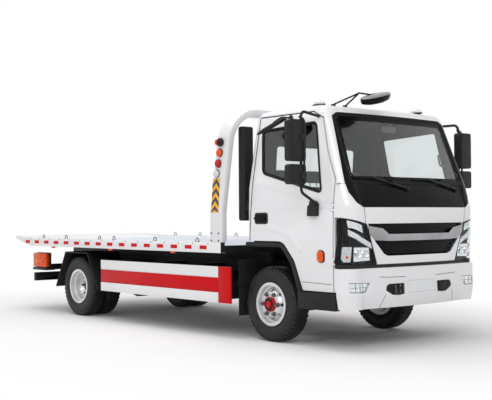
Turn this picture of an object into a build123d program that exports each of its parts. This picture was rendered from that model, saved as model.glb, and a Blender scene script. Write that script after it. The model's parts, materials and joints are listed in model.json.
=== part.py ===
from build123d import *
import os
from math import atan2, cos, degrees, hypot, radians, sin

# Flatbed tow truck in millimetres: +X forward, +Y to the truck's left, +Z up from the ground.
# The origin is on the ground, midway between nose and tail.
overall_length = 6470
wheelbase = 3720
front_overhang = 1230
bed_width = 2300
front_axle_x = overall_length / 2 - front_overhang
rear_axle_x = front_axle_x - wheelbase
nose_x = overall_length / 2
tail_x = -overall_length / 2
both_sides = (-1, 1)
side_name = {-1: "right", 1: "left"}

# Clearances
seat_gap = 0.3
pin_gap = 0.05
door_gap = 14
overrun = 50

# Tyres and rims
tyre_radius = 387.5
tyre_width = 205
tread_width = 150
shoulder_drop = 14
bead_radius = 203
bead_width = 176
rim_flange_radius = 225
rim_flange_width = 10
rim_gauge = 8
rim_well_radius = 182
rim_well_width = 70
disc_gauge = 12
hub_radius = 62
bolt_circle_radius = 102
front_tyre_outer_y = 930
rear_tyre_outer_y = 1021
twin_gap = 25
hand_holes = 8
hand_hole_radius = 17
hand_hole_circle_radius = 142
axle_z = tyre_radius
front_wheel_y = front_tyre_outer_y - tyre_width / 2
outer_twin_y = rear_tyre_outer_y - tyre_width / 2
inner_twin_y = outer_twin_y - tyre_width - twin_gap
twin_face_y = (outer_twin_y + inner_twin_y) / 2

# Ladder frame
frame_half_width = 375
frame_rail_height = 180
frame_rail_flange = 65
frame_rail_gauge = 8
frame_top_z = 700
frame_front_setback = 230
frame_tail_setback = 550
frame_front_x = nose_x - frame_front_setback
frame_tail_x = tail_x + frame_tail_setback
frame_bottom_z = frame_top_z - frame_rail_height
rail_inner_y = frame_half_width - frame_rail_gauge
bumper_horn_length = 100
bumper_horn_x = frame_front_x + bumper_horn_length
crossmember_height = 90
crossmember_depth = 60
spring_crossmember_reach = 450
free_crossmember_shares = (0.30, 0.47, 0.65)
cab_post_reach = 100

# Tow body subframe and the pivot of the tilt frame
subframe_height = 80
subframe_rail_width = 60
subframe_top_z = frame_top_z + subframe_height
subframe_front_reach = 640
subframe_front_x = front_axle_x - subframe_front_reach
pivot_setback = 490
pivot_rise = 20
pivot_x = tail_x + pivot_setback
pivot_z = subframe_top_z + pivot_rise
pivot_shaft_radius = 30
pivot_plate_gauge = 12
pivot_plate_radius = 55
subframe_tail_reach = 70
subframe_tail_x = pivot_x + subframe_tail_reach

# Tilt frame
tilt_rail_height = 124
tilt_rail_width = 60
tilt_frame_bottom_z = subframe_top_z + seat_gap
tilt_frame_top_z = tilt_frame_bottom_z + tilt_rail_height
tilt_frame_front_reach = 700
tilt_frame_front_x = front_axle_x - tilt_frame_front_reach

# Bed
bed_front_reach = 539
bed_front_x = front_axle_x - bed_front_reach
bed_rail_bottom_z = 907
bed_rail_top_z = 1020
bed_rail_width = 60
deck_gauge = 8
deck_sink = 35
deck_top_z = bed_rail_top_z - deck_sink
tail_length = 409
tail_rise = 25
tail_tip_gauge = 43
tail_kink_x = tail_x + tail_length
tail_tip_top_z = bed_rail_top_z + tail_rise
tail_tip_bottom_z = tail_tip_top_z - tail_tip_gauge
bed_beam_y = 425
bed_beam_width = 50
bearer_height = 80
bearer_width = 50
bearer_count = 9

# Winch, on a doubler plate welded to the deck
winch_half_width = 260
winch_plate_gauge = 16
winch_height = 260
winch_reach = 320
winch_x = bed_front_x - winch_reach
winch_pad_margin = 30
winch_pad_gauge = 10
winch_foot_z = deck_top_z + winch_pad_gauge
winch_z = winch_foot_z + winch_height / 2

# Hoop at the front of the bed
hoop_half_width = 1145
hoop_post_width = 72
hoop_depth = 200
hoop_top_z = 2440
hoop_corner_radius = 350
hoop_rear_reach = 723
hoop_rear_x = front_axle_x - hoop_rear_reach
hoop_plumb_z = 1342
hoop_lean = 185

# Cab
cab_length = 1528
cab_half_width = 1005
cab_rear_x = nose_x - cab_length
cab_bottom_z = 566
cab_height = 1836
cab_wall = 50
cab_rear_corner = 90
roof_seam_share = 0.960
glass_gauge = 6
glass_depth = 8
roof_seam_z = cab_bottom_z + roof_seam_share * cab_height
cab_inner_rear_x = cab_rear_x + cab_wall

# Plan sections of the cab from sill to roof. Height is a share of cab_height, widths are shares of
# cab_half_width, lengths are shares of cab_length from the cab's rear, and the last column says how
# much of a wall's thickness comes off the height of that section.
# height, half width, nose centre, nose corner x, nose corner y, side end x, rear x, roof
cab_section_shares = (
    (0.000, 0.985, 0.972, 0.942, 0.766, 0.831, 0.000, 0),
    (0.264, 1.000, 0.993, 0.959, 0.781, 0.841, 0.000, 0),
    (0.440, 1.000, 1.000, 0.965, 0.787, 0.841, 0.000, 0),
    (0.563, 0.993, 0.944, 0.908, 0.796, 0.812, 0.000, 0),
    (0.949, 0.912, 0.764, 0.730, 0.836, 0.674, 0.038, 0),
    (0.983, 0.880, 0.733, 0.700, 0.801, 0.648, 0.060, 1),
    (1.000, 0.800, 0.654, 0.628, 0.726, 0.582, 0.120, 1),
)

# Wheel arch: its reach ahead of the axle, and its corners as shares of that reach and of its height
arch_reach = 551
arch_top_z = 1042
arch_corner_radius = 150
arch_round_share = 0.9
arch_corner_shares = ((0.50, 1.0), (0.80, 0.60), (1.0, 0.0))
flare_width = 47
sill_bottom_z = 388
flare_inner_y = 935

# Door edge and window corners as shares of cab_length from the cab's rear and of cab_height
door_corner_shares = (
    (0.827, 0.000), (0.8435, 0.582), (0.766, 0.735), (0.702, 0.9156), (0.616, 0.953),
    (0.107, 0.953), (0.048, 0.2594),
)
door_window_shares = ((0.170, 0.6405), (0.7356, 0.5218), (0.6486, 0.896), (0.136, 0.8763))
door_window_corner = 30

# Door hinges: pins and lugs on the front panel, knuckles on the doors. The axis stands just outside
# the skin, so that a door's edge swings clear of the panel.
hinge_length_share = 0.835
hinge_stand = 2
hinge_height_shares = (0.16, 0.44)
hinge_pin_radius = 5
hinge_knuckle_radius = 9
hinge_knuckle_half = 12
hinge_lug_height = 24
hinge_leaf_length = 20
hinge_leaf_depth = 27
hinge_pocket_gap = 5
hinge_x = cab_rear_x + hinge_length_share * cab_length
hinge_y = cab_half_width + hinge_stand
hinge_heights = [cab_bottom_z + share * cab_height for share in hinge_height_shares]

# Front view outlines: shares of cab_half_width and of cab_height
windshield_shares = ((0.815, 0.939), (0.858, 0.574), (-0.858, 0.574), (-0.815, 0.939))
cowl_shares = ((0.858, 0.572), (0.787, 0.440), (-0.787, 0.440), (-0.858, 0.572))
# The grille's mouth, then the bright band across it: the right half of each, from the top round
grille_half_shares = ((0.727, 0.355), (0.631, 0.261), (0.512, 0.195), (0.458, 0.184))
band_half_shares = ((0.460, 0.299), (0.541, 0.329), (0.722, 0.343), (0.712, 0.304), (0.639, 0.268),
                    (0.458, 0.263))
slat_height_shares = (0.246, 0.223, 0.202)
top_slat_height_share = 0.326
headlamp_shares = ((1.1, 0.402), (0.735, 0.355), (0.590, 0.140), (1.1, 0.140))
headlamp_rear_share = 0.851
windshield_corner = 60
rear_window_half_width = 620
rear_window_bottom_z = 1560
rear_window_top_z = 2060
grille_recess = 30
slat_recess = 12
slat_height = 17
band_stand = 6
band_back = 20

# Cab inside
floor_gauge = 50
tunnel_half_width = 410
tunnel_top_z = 1000
footwell_z = 580
footwell_nose_gap = 150
footwell_front_x = nose_x - footwell_nose_gap
seat_width = 520
driver_seat_y = 470
bench_width = 880
bench_y = -380
seat_rear_gap = 180
seat_rear_x = cab_rear_x + seat_rear_gap
cushion_length = 500
cushion_height = 150
backrest_height = 640
backrest_depth = 120
backrest_lean = 70
cushion_lift = 60
dash_depth = 420
dash_rear_x = nose_x - dash_depth
dash_bottom_z = 1180
dash_half_width = cab_half_width - cab_wall - door_gap - hinge_pocket_gap
dash_top_z = 1520
steering_wheel_radius = 215
steering_rim_radius = 16
steering_wheel_z = 1500
steering_wheel_setback = 560
steering_wheel_x = nose_x - steering_wheel_setback
steering_rake = 35

# Front bumper
bumper_bottom_z = 403
bumper_top_z = 790
bumper_depth = 212
bumper_rear_x = nose_x - bumper_depth
bumper_wall = 45
bumper_rear_corner = 4
# Level sections: height as a share of the bumper's, half width and corner y as shares of
# cab_half_width, and set backs from the nose as shares of bumper_depth
# height, half width, nose set back, corner set back, corner y, side end set back
bumper_section_shares = (
    (0.00, 0.975, 0.179, 0.448, 0.75, 0.967),
    (0.35, 1.000, 0.000, 0.283, 0.78, 0.967),
    (1.00, 1.000, 0.071, 0.330, 0.79, 0.967),
)
# Recesses for the fog lamps, the lower vents and the blank plate, as shares of cab_half_width and
# of the bumper's height
fog_recess_shares = ((0.953, 0.669), (0.704, 0.650), (0.753, 0.411), (0.945, 0.424))
vent_recess_shares = ((0.494, 0.548), (0.460, 0.597), (0.245, 0.597), (0.249, 0.313), (0.416, 0.313),
                      (0.505, 0.437))
recess_depth = 22
recess_corner = 10

# Running gear
spring_y = 340
rear_spring_y = 425
spring_width = 60
leaf_gauge = 14
leaf_count = 5
front_spring_half = 620
rear_spring_half = 650
spring_sag = 90
spring_eye_radius = 22
hanger_length = 70
kingpin_y = 700
kingpin_radius = 18
kingpin_boss_radius = 38
kingpin_boss_height = 90
knuckle_lug = 28
stub_radius = 25
stub_end_reach = 62
stub_end_y = front_wheel_y + stub_end_reach
axle_beam_drop = 60
axle_beam_width = 70
axle_beam_height = 75
axle_tube_radius = 60
spindle_radius = 40
spindle_end_reach = 60
spindle_end_y = twin_face_y + spindle_end_reach
diff_radius = 190
diff_half_width = 160

# Lift cylinders between the frame and the tilt frame
barrel_pin_reach = 570
barrel_pin_z = 560
rod_pin_reach = 1470
rod_pin_rise = 70
barrel_pin_x = rear_axle_x + barrel_pin_reach
rod_pin_x = rear_axle_x + rod_pin_reach
rod_pin_z = subframe_top_z + rod_pin_rise
lift_y = 230
barrel_radius = 45
barrel_bore = 37
rod_radius = 25
lift_eye_radius = 42
lift_eye_width = 50
lift_pin_radius = 22
barrel_length = 640


def mirror_range(side, near, far):
    """Low and high Y of a piece that lies from near to far on one side of the centre line."""
    return sorted((side * near, side * far))


def box_outline(a_low, a_high, b_low, b_high):
    return [(a_low, b_low), (a_high, b_low), (a_high, b_high), (a_low, b_high)]


def filled(plane, points, corner=0):
    """A filled outline on a plane, with rounded corners where a radius is given."""
    with BuildSketch(plane) as shape:
        with BuildLine():
            Polyline(*points, close=True)
        make_face()
        if corner:
            fillet(shape.vertices(), corner)
    return shape.sketch


def across(points, y_low, y_high, corner=0, mode=Mode.ADD):
    """An outline in X and Z, carried across the truck."""
    extrude(filled(Plane.XZ.offset(-y_low), points, corner), amount=y_low - y_high, mode=mode)


def lengthways(points, x_low, x_high, corner=0, mode=Mode.ADD):
    """An outline in Y and Z, carried along the truck."""
    extrude(filled(Plane.YZ.offset(x_low), points, corner), amount=x_high - x_low, mode=mode)


def upright(points, z_low, z_high, corner=0, mode=Mode.ADD):
    """An outline in X and Y, carried upwards."""
    extrude(filled(Plane.XY.offset(z_low), points, corner), amount=z_high - z_low, mode=mode)


def bar(start, end, radius, mode=Mode.ADD):
    """A round bar between two points."""
    run = Vector(*end) - Vector(*start)
    with BuildSketch(Plane(origin=start, z_dir=run)) as section:
        Circle(radius)
    extrude(section.sketch, amount=run.length, mode=mode)


def turned(points, x, z, mode=Mode.ADD):
    """A profile of radius and Y, turned about the crosswise axis through x and z."""
    half = filled(Plane(origin=(x, 0, z), x_dir=(1, 0, 0), z_dir=(0, 0, 1)), points)
    revolve(half, axis=Axis((x, 0, z), (0, 1, 0)), mode=mode)


def bent_tube(points, bend, radius):
    """A round tube along straight runs with rounded bends."""
    with BuildLine() as route:
        FilletPolyline(*points, radius=bend)
    start = route.line @ 0
    with BuildSketch(Plane(origin=start, z_dir=route.line % 0)) as section:
        Circle(radius)
    sweep(section.sketch, path=route.line)


def finish(piece, label):
    piece.part.label = label
    export_step(piece.part, f"parts/{label}.step")
    print(label, len(piece.part.solids()), round(piece.part.volume))


def plan_section(z, rear, half, side_end, corner_x, corner_y, nose, rear_corner):
    """A level section of a cab or bumper shape: flat back, straight sides, bowed nose."""
    with BuildSketch(Plane.XY.offset(z)) as section:
        with BuildLine():
            Line((rear, rear_corner - half), (rear, half - rear_corner))
            TangentArc((rear + rear_corner, half), (rear, half - rear_corner), tangent=(-1, 0))
            Line((rear + rear_corner, half), (side_end, half))
            TangentArc((side_end, half), (corner_x, corner_y), tangent=(1, 0))
            ThreePointArc((corner_x, corner_y), (nose, 0), (corner_x, -corner_y))
            TangentArc((side_end, -half), (corner_x, -corner_y), tangent=(1, 0))
            Line((rear + rear_corner, -half), (side_end, -half))
            TangentArc((rear + rear_corner, -half), (rear, rear_corner - half), tangent=(-1, 0))
        make_face()
    return section.sketch


def cab_form(inset, mode=Mode.ADD):
    """The cab's outer form, moved inwards by inset."""
    sections = []
    for height, half, nose, corner_x, corner_y, side_end, rear, roof in cab_section_shares:
        sections.append(plan_section(
            cab_bottom_z + height * cab_height - roof * inset,
            cab_rear_x + rear * cab_length + inset,
            half * cab_half_width - inset,
            cab_rear_x + side_end * cab_length,
            cab_rear_x + corner_x * cab_length - inset,
            corner_y * cab_half_width,
            cab_rear_x + nose * cab_length - inset,
            cab_rear_corner - inset,
        ))
    loft(sections, ruled=True, mode=mode)


def cab_side_points(shares):
    return [(cab_rear_x + x * cab_length, cab_bottom_z + z * cab_height) for x, z in shares]


def cab_front_points(shares):
    return [(y * cab_half_width, cab_bottom_z + z * cab_height) for y, z in shares]


def mirrored_front_points(half_shares):
    """A front view outline from its right half, mirrored about the centre line."""
    right = cab_front_points(half_shares)
    return right + [(-y, z) for y, z in reversed(right)]


def arch_opening(inward):
    """The wheel arch in side view, moved inwards, open below and behind."""
    arch_height = arch_top_z - cab_bottom_z
    corners = [(front_axle_x + x * arch_reach, cab_bottom_z + z * arch_height)
               for x, z in arch_corner_shares]
    low_z = -overrun
    behind_x = cab_rear_x - arch_reach
    with BuildSketch(Plane.XZ) as opening:
        with BuildLine():
            Polyline((behind_x, arch_top_z), *corners, (corners[-1][0], low_z), (behind_x, low_z), close=True)
        make_face()
        fillet(opening.vertices().filter_by_position(Axis.X, front_axle_x,
                                                     front_axle_x + arch_round_share * arch_reach)
               .filter_by_position(Axis.Y, cab_bottom_z + pin_gap, arch_top_z + pin_gap), arch_corner_radius)
        if inward:
            offset(amount=-inward, kind=Kind.INTERSECTION)
    return opening.sketch


def cut_arch(inward):
    """Cut the wheel arch right across the piece."""
    extrude(arch_opening(inward), amount=cab_half_width + overrun, both=True, mode=Mode.SUBTRACT)


os.makedirs("parts", exist_ok=True)

# Cab shell: one wall, split where the real panels meet
front_split_share = 0.4
front_split_x = cab_rear_x + front_split_share * cab_length
below_z = cab_bottom_z - overrun
above_z = cab_bottom_z + cab_height + overrun
side_reach = cab_half_width + overrun
door_points = cab_side_points(door_corner_shares)
windshield_points = cab_front_points(windshield_shares)
headlamp_points = cab_front_points(headlamp_shares)
other_headlamp_points = [(-y, z) for y, z in headlamp_points]
headlamp_rear_x = cab_rear_x + headlamp_rear_share * cab_length
grille_points = mirrored_front_points(grille_half_shares)
band_points = mirrored_front_points(band_half_shares)


def door_edge(outward):
    """The door's edge in side view, moved outwards. Its lower rear edge is the wheel arch."""
    with BuildSketch(Plane.XZ) as edge:
        with BuildLine():
            Polyline(*door_points, (door_points[-1][0], cab_bottom_z - outward - overrun),
                     (door_points[0][0], cab_bottom_z - outward - overrun), close=True)
        make_face()
        if outward:
            offset(amount=outward, kind=Kind.INTERSECTION)
    return edge.sketch


def hinge_leaf(side, z_low, z_high, reach, spare=0, mode=Mode.ADD):
    """A barrel about a door's hinge axis, with a leaf along the skin, forwards or back."""
    bar((hinge_x, side * hinge_y, z_low), (hinge_x, side * hinge_y, z_high), hinge_knuckle_radius + spare,
        mode=mode)
    y_low, y_high = mirror_range(side, hinge_y - hinge_leaf_depth - spare, hinge_y + spare)
    x_low, x_high = sorted((hinge_x, hinge_x + reach))
    upright(box_outline(x_low - spare, x_high + spare, y_low, y_high), z_low, z_high, mode=mode)


with BuildPart() as cab_shell:
    cab_form(0)
    cab_form(cab_wall, mode=Mode.SUBTRACT)

with BuildPart() as cab_body:
    add(cab_shell.part)
    extrude(door_edge(door_gap), amount=side_reach, both=True, mode=Mode.SUBTRACT)
    cut_arch(0)

with BuildPart() as cab_roof:
    add(cab_body.part)
    across(box_outline(cab_rear_x - overrun, nose_x + overrun, roof_seam_z, above_z),
           -side_reach, side_reach, mode=Mode.INTERSECT)
finish(cab_roof, "cab_roof")

with BuildPart() as cab_rear_wall:
    add(cab_body.part)
    across(box_outline(cab_rear_x - overrun, front_split_x, below_z, roof_seam_z),
           -side_reach, side_reach, mode=Mode.INTERSECT)
    lengthways(box_outline(-rear_window_half_width, rear_window_half_width,
                           rear_window_bottom_z, rear_window_top_z),
               cab_rear_x - overrun, front_split_x, windshield_corner, mode=Mode.SUBTRACT)
finish(cab_rear_wall, "cab_rear_wall")

with BuildPart() as cab_front_panel:
    add(cab_body.part)
    across(box_outline(front_split_x, nose_x + overrun, below_z, roof_seam_z),
           -side_reach, side_reach, mode=Mode.INTERSECT)
    lengthways(windshield_points, front_split_x, nose_x + overrun, windshield_corner, mode=Mode.SUBTRACT)
    lengthways(cab_front_points(cowl_shares), front_split_x, nose_x + overrun, mode=Mode.SUBTRACT)
    lengthways(grille_points, front_split_x, nose_x + overrun, mode=Mode.SUBTRACT)
    for points in (headlamp_points, other_headlamp_points):
        lengthways(points, headlamp_rear_x, nose_x + overrun, mode=Mode.SUBTRACT)
    across(box_outline(bumper_rear_x - seat_gap, nose_x + overrun, below_z, bumper_top_z + seat_gap),
           -side_reach, side_reach, mode=Mode.SUBTRACT)
    for side in both_sides:
        for z in hinge_heights:
            pin_half = hinge_knuckle_half + seat_gap + hinge_lug_height
            for end in both_sides:
                z_low, z_high = sorted((z + end * (hinge_knuckle_half + seat_gap), z + end * pin_half))
                hinge_leaf(side, z_low, z_high, hinge_leaf_length)
            bar((hinge_x, side * hinge_y, z - hinge_knuckle_half - seat_gap),
                (hinge_x, side * hinge_y, z + hinge_knuckle_half + seat_gap),
                hinge_knuckle_radius + hinge_pocket_gap, mode=Mode.SUBTRACT)
            bar((hinge_x, side * hinge_y, z - pin_half), (hinge_x, side * hinge_y, z + pin_half),
                hinge_pin_radius)
finish(cab_front_panel, "cab_front_panel")

with BuildPart() as cowl_panel:
    cab_form(0)
    cab_form(cab_wall, mode=Mode.SUBTRACT)
    lengthways(cab_front_points(cowl_shares), front_split_x, nose_x + overrun, mode=Mode.INTERSECT)
finish(cowl_panel, "cowl_panel")

with BuildPart() as glass_skin:
    cab_form(glass_depth)
    cab_form(glass_depth + glass_gauge, mode=Mode.SUBTRACT)

with BuildPart() as windshield:
    add(glass_skin.part)
    lengthways(windshield_points, front_split_x, nose_x, windshield_corner, mode=Mode.INTERSECT)
finish(windshield, "windshield")

with BuildPart() as rear_window:
    add(glass_skin.part)
    lengthways(box_outline(-rear_window_half_width, rear_window_half_width,
                           rear_window_bottom_z, rear_window_top_z),
               cab_rear_x - overrun, front_split_x, windshield_corner, mode=Mode.INTERSECT)
finish(rear_window, "rear_window")

# Grille between the headlamps: slats that stand in front of their backing
with BuildPart() as grille_slats:
    cab_form(slat_recess)
    cab_form(cab_wall, mode=Mode.SUBTRACT)
    with BuildSketch(Plane.YZ.offset(headlamp_rear_x)) as slat_faces:
        for share in (*slat_height_shares, top_slat_height_share):
            with Locations((0, cab_bottom_z + share * cab_height)):
                Rectangle(2 * cab_half_width, slat_height)
    extrude(slat_faces.sketch, amount=nose_x - headlamp_rear_x, mode=Mode.INTERSECT)

with BuildPart() as grille:
    cab_form(grille_recess)
    cab_form(cab_wall, mode=Mode.SUBTRACT)
    add(grille_slats.part)
    lengthways(grille_points, front_split_x, nose_x, mode=Mode.INTERSECT)
finish(grille, "grille")

with BuildPart() as headlamps:
    cab_form(seat_gap)
    cab_form(cab_wall, mode=Mode.SUBTRACT)
    with BuildSketch(Plane.YZ.offset(headlamp_rear_x)) as lamp_faces:
        for points in (headlamp_points, other_headlamp_points):
            with BuildLine():
                Polyline(*points, close=True)
            make_face()
    extrude(lamp_faces.sketch, amount=nose_x - headlamp_rear_x, mode=Mode.INTERSECT)
finish(headlamps, "headlamps")

# Bright band across the grille, its ends lapped over the lamps
with BuildPart() as grille_band:
    cab_form(-band_stand)
    cab_form(band_back, mode=Mode.SUBTRACT)
    lengthways(band_points, headlamp_rear_x, nose_x + overrun, mode=Mode.INTERSECT)
    for piece in (grille, headlamps, cab_front_panel):
        add(piece.part, mode=Mode.SUBTRACT)
finish(grille_band, "grille_band")

# Front bumper, a bowed shell with pads that the frame horns meet
bumper_height = bumper_top_z - bumper_bottom_z


def bumper_form(inset, mode=Mode.ADD):
    sections = []
    for height, half, nose, corner_x, corner_y, side_end in bumper_section_shares:
        sections.append(plan_section(
            bumper_bottom_z + height * bumper_height, bumper_rear_x, half * cab_half_width - inset,
            nose_x - side_end * bumper_depth, nose_x - corner_x * bumper_depth - inset,
            corner_y * cab_half_width, nose_x - nose * bumper_depth - inset, bumper_rear_corner,
        ))
    loft(sections, ruled=True, mode=mode)


with BuildPart() as bumper_face:
    bumper_form(0)
    bumper_form(recess_depth, mode=Mode.SUBTRACT)
    with BuildSketch(Plane.YZ.offset(bumper_rear_x)) as recess_faces:
        for side in both_sides:
            for shares in (fog_recess_shares, vent_recess_shares):
                with BuildLine():
                    Polyline(*[(side * y * cab_half_width, bumper_bottom_z + z * bumper_height)
                               for y, z in shares], close=True)
                make_face()
        fillet(recess_faces.vertices(), recess_corner)
    extrude(recess_faces.sketch, amount=bumper_depth + overrun, mode=Mode.INTERSECT)

horn_pad_height = 104
with BuildPart() as front_bumper:
    bumper_form(0)
    bumper_form(bumper_wall, mode=Mode.SUBTRACT)
    add(bumper_face.part, mode=Mode.SUBTRACT)
    with BuildPart(mode=Mode.PRIVATE) as pads:
        bumper_form(0)
        with BuildSketch(Plane.YZ.offset(bumper_horn_x)) as pad_faces:
            with Locations(*[(side * (frame_half_width - frame_rail_flange / 2),
                              frame_top_z - 2 * frame_rail_flange) for side in both_sides]):
                Rectangle(frame_rail_flange, horn_pad_height)
        extrude(pad_faces.sketch, amount=nose_x - bumper_horn_x, mode=Mode.INTERSECT)
    add(pads.part)
finish(front_bumper, "front_bumper")

# Mirror arms on the doors: a bent tube with two heads
mirror_y = 1290
mirror_half_width = 102
mirror_tube_y = 1215
mirror_tube_radius = 14
mirror_tube_bend = 60
mirror_reach = 775
mirror_upper_foot_reach = 720
mirror_lower_foot_reach = 790
mirror_x = front_axle_x + mirror_reach
mirror_upper_foot_x = front_axle_x + mirror_upper_foot_reach
mirror_lower_foot_x = front_axle_x + mirror_lower_foot_reach
mirror_top_z = 2300
mirror_foot_z = 1400
mirror_upper_foot_z = 2268
mirror_foot_sink = 1
upper_foot_sink = 93
mirror_head_depth = 80
mirror_head_corner = 28
main_mirror_bottom_z = 1815
main_mirror_height = 395
wide_mirror_bottom_z = 1595
wide_mirror_height = 190

# Doors, each a full wall with its window cut, and its pane
for side in both_sides:
    y_low, y_high = mirror_range(side, cab_half_width / 2, side_reach)
    with BuildPart() as door:
        cab_form(0)
        cab_form(cab_wall, mode=Mode.SUBTRACT)
        extrude(door_edge(0), amount=side_reach, both=True, mode=Mode.INTERSECT)
        cut_arch(0)
        upright(box_outline(cab_rear_x - overrun, nose_x, y_low, y_high), below_z, above_z,
                mode=Mode.INTERSECT)
        across(cab_side_points(door_window_shares), y_low, y_high, door_window_corner, mode=Mode.SUBTRACT)
        for z in hinge_heights:
            pocket_half = hinge_knuckle_half + hinge_lug_height + hinge_pocket_gap
            hinge_leaf(side, z - pocket_half, z + pocket_half, hinge_leaf_length, hinge_pocket_gap,
                       mode=Mode.SUBTRACT)
            hinge_leaf(side, z - hinge_knuckle_half, z + hinge_knuckle_half, -hinge_leaf_length)
            bar((hinge_x, side * hinge_y, z - hinge_knuckle_half),
                (hinge_x, side * hinge_y, z + hinge_knuckle_half), hinge_pin_radius + pin_gap,
                mode=Mode.SUBTRACT)
    finish(door, f"{side_name[side]}_door")

    with BuildPart() as door_glass:
        add(glass_skin.part)
        across(cab_side_points(door_window_shares), y_low, y_high, door_window_corner,
               mode=Mode.INTERSECT)
    finish(door_glass, f"{side_name[side]}_door_glass")

    with BuildPart() as mirror_arm:
        bent_tube([(mirror_upper_foot_x, side * (cab_half_width - upper_foot_sink), mirror_upper_foot_z),
                   (mirror_x, side * mirror_tube_y, mirror_top_z),
                   (mirror_x, side * mirror_tube_y, mirror_foot_z + 2 * mirror_tube_bend),
                   (mirror_lower_foot_x, side * (cab_half_width - mirror_foot_sink), mirror_foot_z)],
                  mirror_tube_bend, mirror_tube_radius)
        for z_low, height in ((main_mirror_bottom_z, main_mirror_height),
                              (wide_mirror_bottom_z, wide_mirror_height)):
            y_low, y_high = mirror_range(side, mirror_y - mirror_half_width, mirror_y + mirror_half_width)
            lengthways(box_outline(y_low, y_high, z_low, z_low + height), mirror_x - mirror_head_depth / 2,
                       mirror_x + mirror_head_depth / 2, mirror_head_corner)
        add(door.part, mode=Mode.SUBTRACT)
    finish(mirror_arm, f"{side_name[side]}_mirror")

# Cab floor: raised over the wheels, deep at the feet, with a tunnel over the engine
platform_z = arch_top_z - flare_width - door_gap
platform_end_share = 0.62
slope_end_share = 0.98
footwell_rear_share = 1.08
tunnel_rear_share = 0.4
with BuildPart() as cab_floor:
    across([(cab_inner_rear_x, platform_z - overrun), (cab_inner_rear_x, arch_top_z + floor_gauge),
            (front_axle_x + platform_end_share * arch_reach, arch_top_z + floor_gauge),
            (front_axle_x + slope_end_share * arch_reach, footwell_z + floor_gauge + overrun),
            (front_axle_x + footwell_rear_share * arch_reach, footwell_z + floor_gauge),
            (footwell_front_x, footwell_z + floor_gauge), (footwell_front_x, footwell_z - overrun),
            (front_axle_x, footwell_z - overrun)], -flare_inner_y, flare_inner_y)
    cut_arch(door_gap + flare_width)
    across(box_outline(front_axle_x, footwell_front_x + overrun, below_z - overrun, footwell_z),
           -cab_half_width, cab_half_width, mode=Mode.SUBTRACT)
    across(box_outline(front_axle_x + tunnel_rear_share * arch_reach, footwell_front_x,
                       footwell_z, tunnel_top_z + floor_gauge), -tunnel_half_width - floor_gauge,
           tunnel_half_width + floor_gauge)
    across(box_outline(front_axle_x, footwell_front_x + overrun, below_z, tunnel_top_z),
           -tunnel_half_width, tunnel_half_width, mode=Mode.SUBTRACT)
    add(cab_shell.part, mode=Mode.SUBTRACT)
finish(cab_floor, "cab_floor")

with BuildPart() as dashboard:
    cab_form(cab_wall + seat_gap)
    across(box_outline(dash_rear_x, nose_x, dash_bottom_z, dash_top_z), -dash_half_width,
           dash_half_width, mode=Mode.INTERSECT)
finish(dashboard, "dashboard")

seat_floor_z = arch_top_z + floor_gauge
cushion_bottom_z = seat_floor_z + cushion_lift
seat_front_x = seat_rear_x + backrest_depth + cushion_length
with BuildPart() as seats:
    for centre_y, width in ((driver_seat_y, seat_width), (bench_y, bench_width)):
        y_low, y_high = centre_y - width / 2, centre_y + width / 2
        across(box_outline(seat_rear_x + overrun, seat_front_x, cushion_bottom_z,
                           cushion_bottom_z + cushion_height), y_low, y_high, overrun / 2)
        across([(seat_rear_x + overrun, cushion_bottom_z + cushion_height),
                (seat_rear_x + overrun + backrest_depth, cushion_bottom_z + cushion_height),
                (seat_rear_x + backrest_depth - backrest_lean, cushion_bottom_z + backrest_height),
                (seat_rear_x - backrest_lean, cushion_bottom_z + backrest_height)], y_low, y_high)
        across(box_outline(seat_rear_x + 2 * overrun, seat_front_x - 2 * overrun, seat_floor_z,
                           cushion_bottom_z + cushion_height / 2), y_low + overrun, y_high - overrun)
finish(seats, "seats")

steering_plane = Plane(origin=(steering_wheel_x, driver_seat_y, steering_wheel_z), x_dir=(0, 1, 0),
                       z_dir=(-sin(radians(steering_rake)), 0, cos(radians(steering_rake))))
with BuildPart() as steering_wheel:
    with BuildSketch(Plane(origin=steering_plane.origin, x_dir=(0, 1, 0), z_dir=steering_plane.y_dir)) as rim:
        with Locations((steering_wheel_radius, 0)):
            Circle(steering_rim_radius)
    revolve(rim.sketch, axis=Axis(steering_plane.origin, steering_plane.z_dir))
    with BuildSketch(steering_plane) as boss:
        Circle(4 * steering_rim_radius)
    extrude(boss.sketch, amount=1.5 * steering_rim_radius, both=True)
    with BuildSketch(steering_plane) as spokes:
        Rectangle(2 * steering_wheel_radius, 2 * steering_rim_radius)
    extrude(spokes.sketch, amount=steering_rim_radius / 2, both=True)
    column_end = steering_plane.origin - steering_plane.z_dir * 2 * steering_wheel_radius
    bar(tuple(steering_plane.origin), tuple(column_end), 1.5 * steering_rim_radius)
    add(dashboard.part, mode=Mode.SUBTRACT)
finish(steering_wheel, "steering_wheel")

# Black sills and wheel arch flares under the doors
with BuildPart() as cab_sills:
    extrude(arch_opening(door_gap), amount=cab_half_width, both=True)
    cut_arch(door_gap + flare_width)
    for side in both_sides:
        y_low, y_high = mirror_range(side, flare_inner_y, cab_half_width)
        across(box_outline(front_axle_x + arch_reach - door_gap - flare_width, bumper_rear_x - door_gap,
                           sill_bottom_z, cab_bottom_z - door_gap), y_low, y_high)
    across(box_outline(cab_rear_x, nose_x, sill_bottom_z, arch_top_z), -side_reach, side_reach,
           mode=Mode.INTERSECT)
    upright(box_outline(cab_rear_x - overrun, nose_x, -flare_inner_y, flare_inner_y), below_z - 4 * overrun,
            above_z, mode=Mode.SUBTRACT)
finish(cab_sills, "cab_sills")

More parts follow.
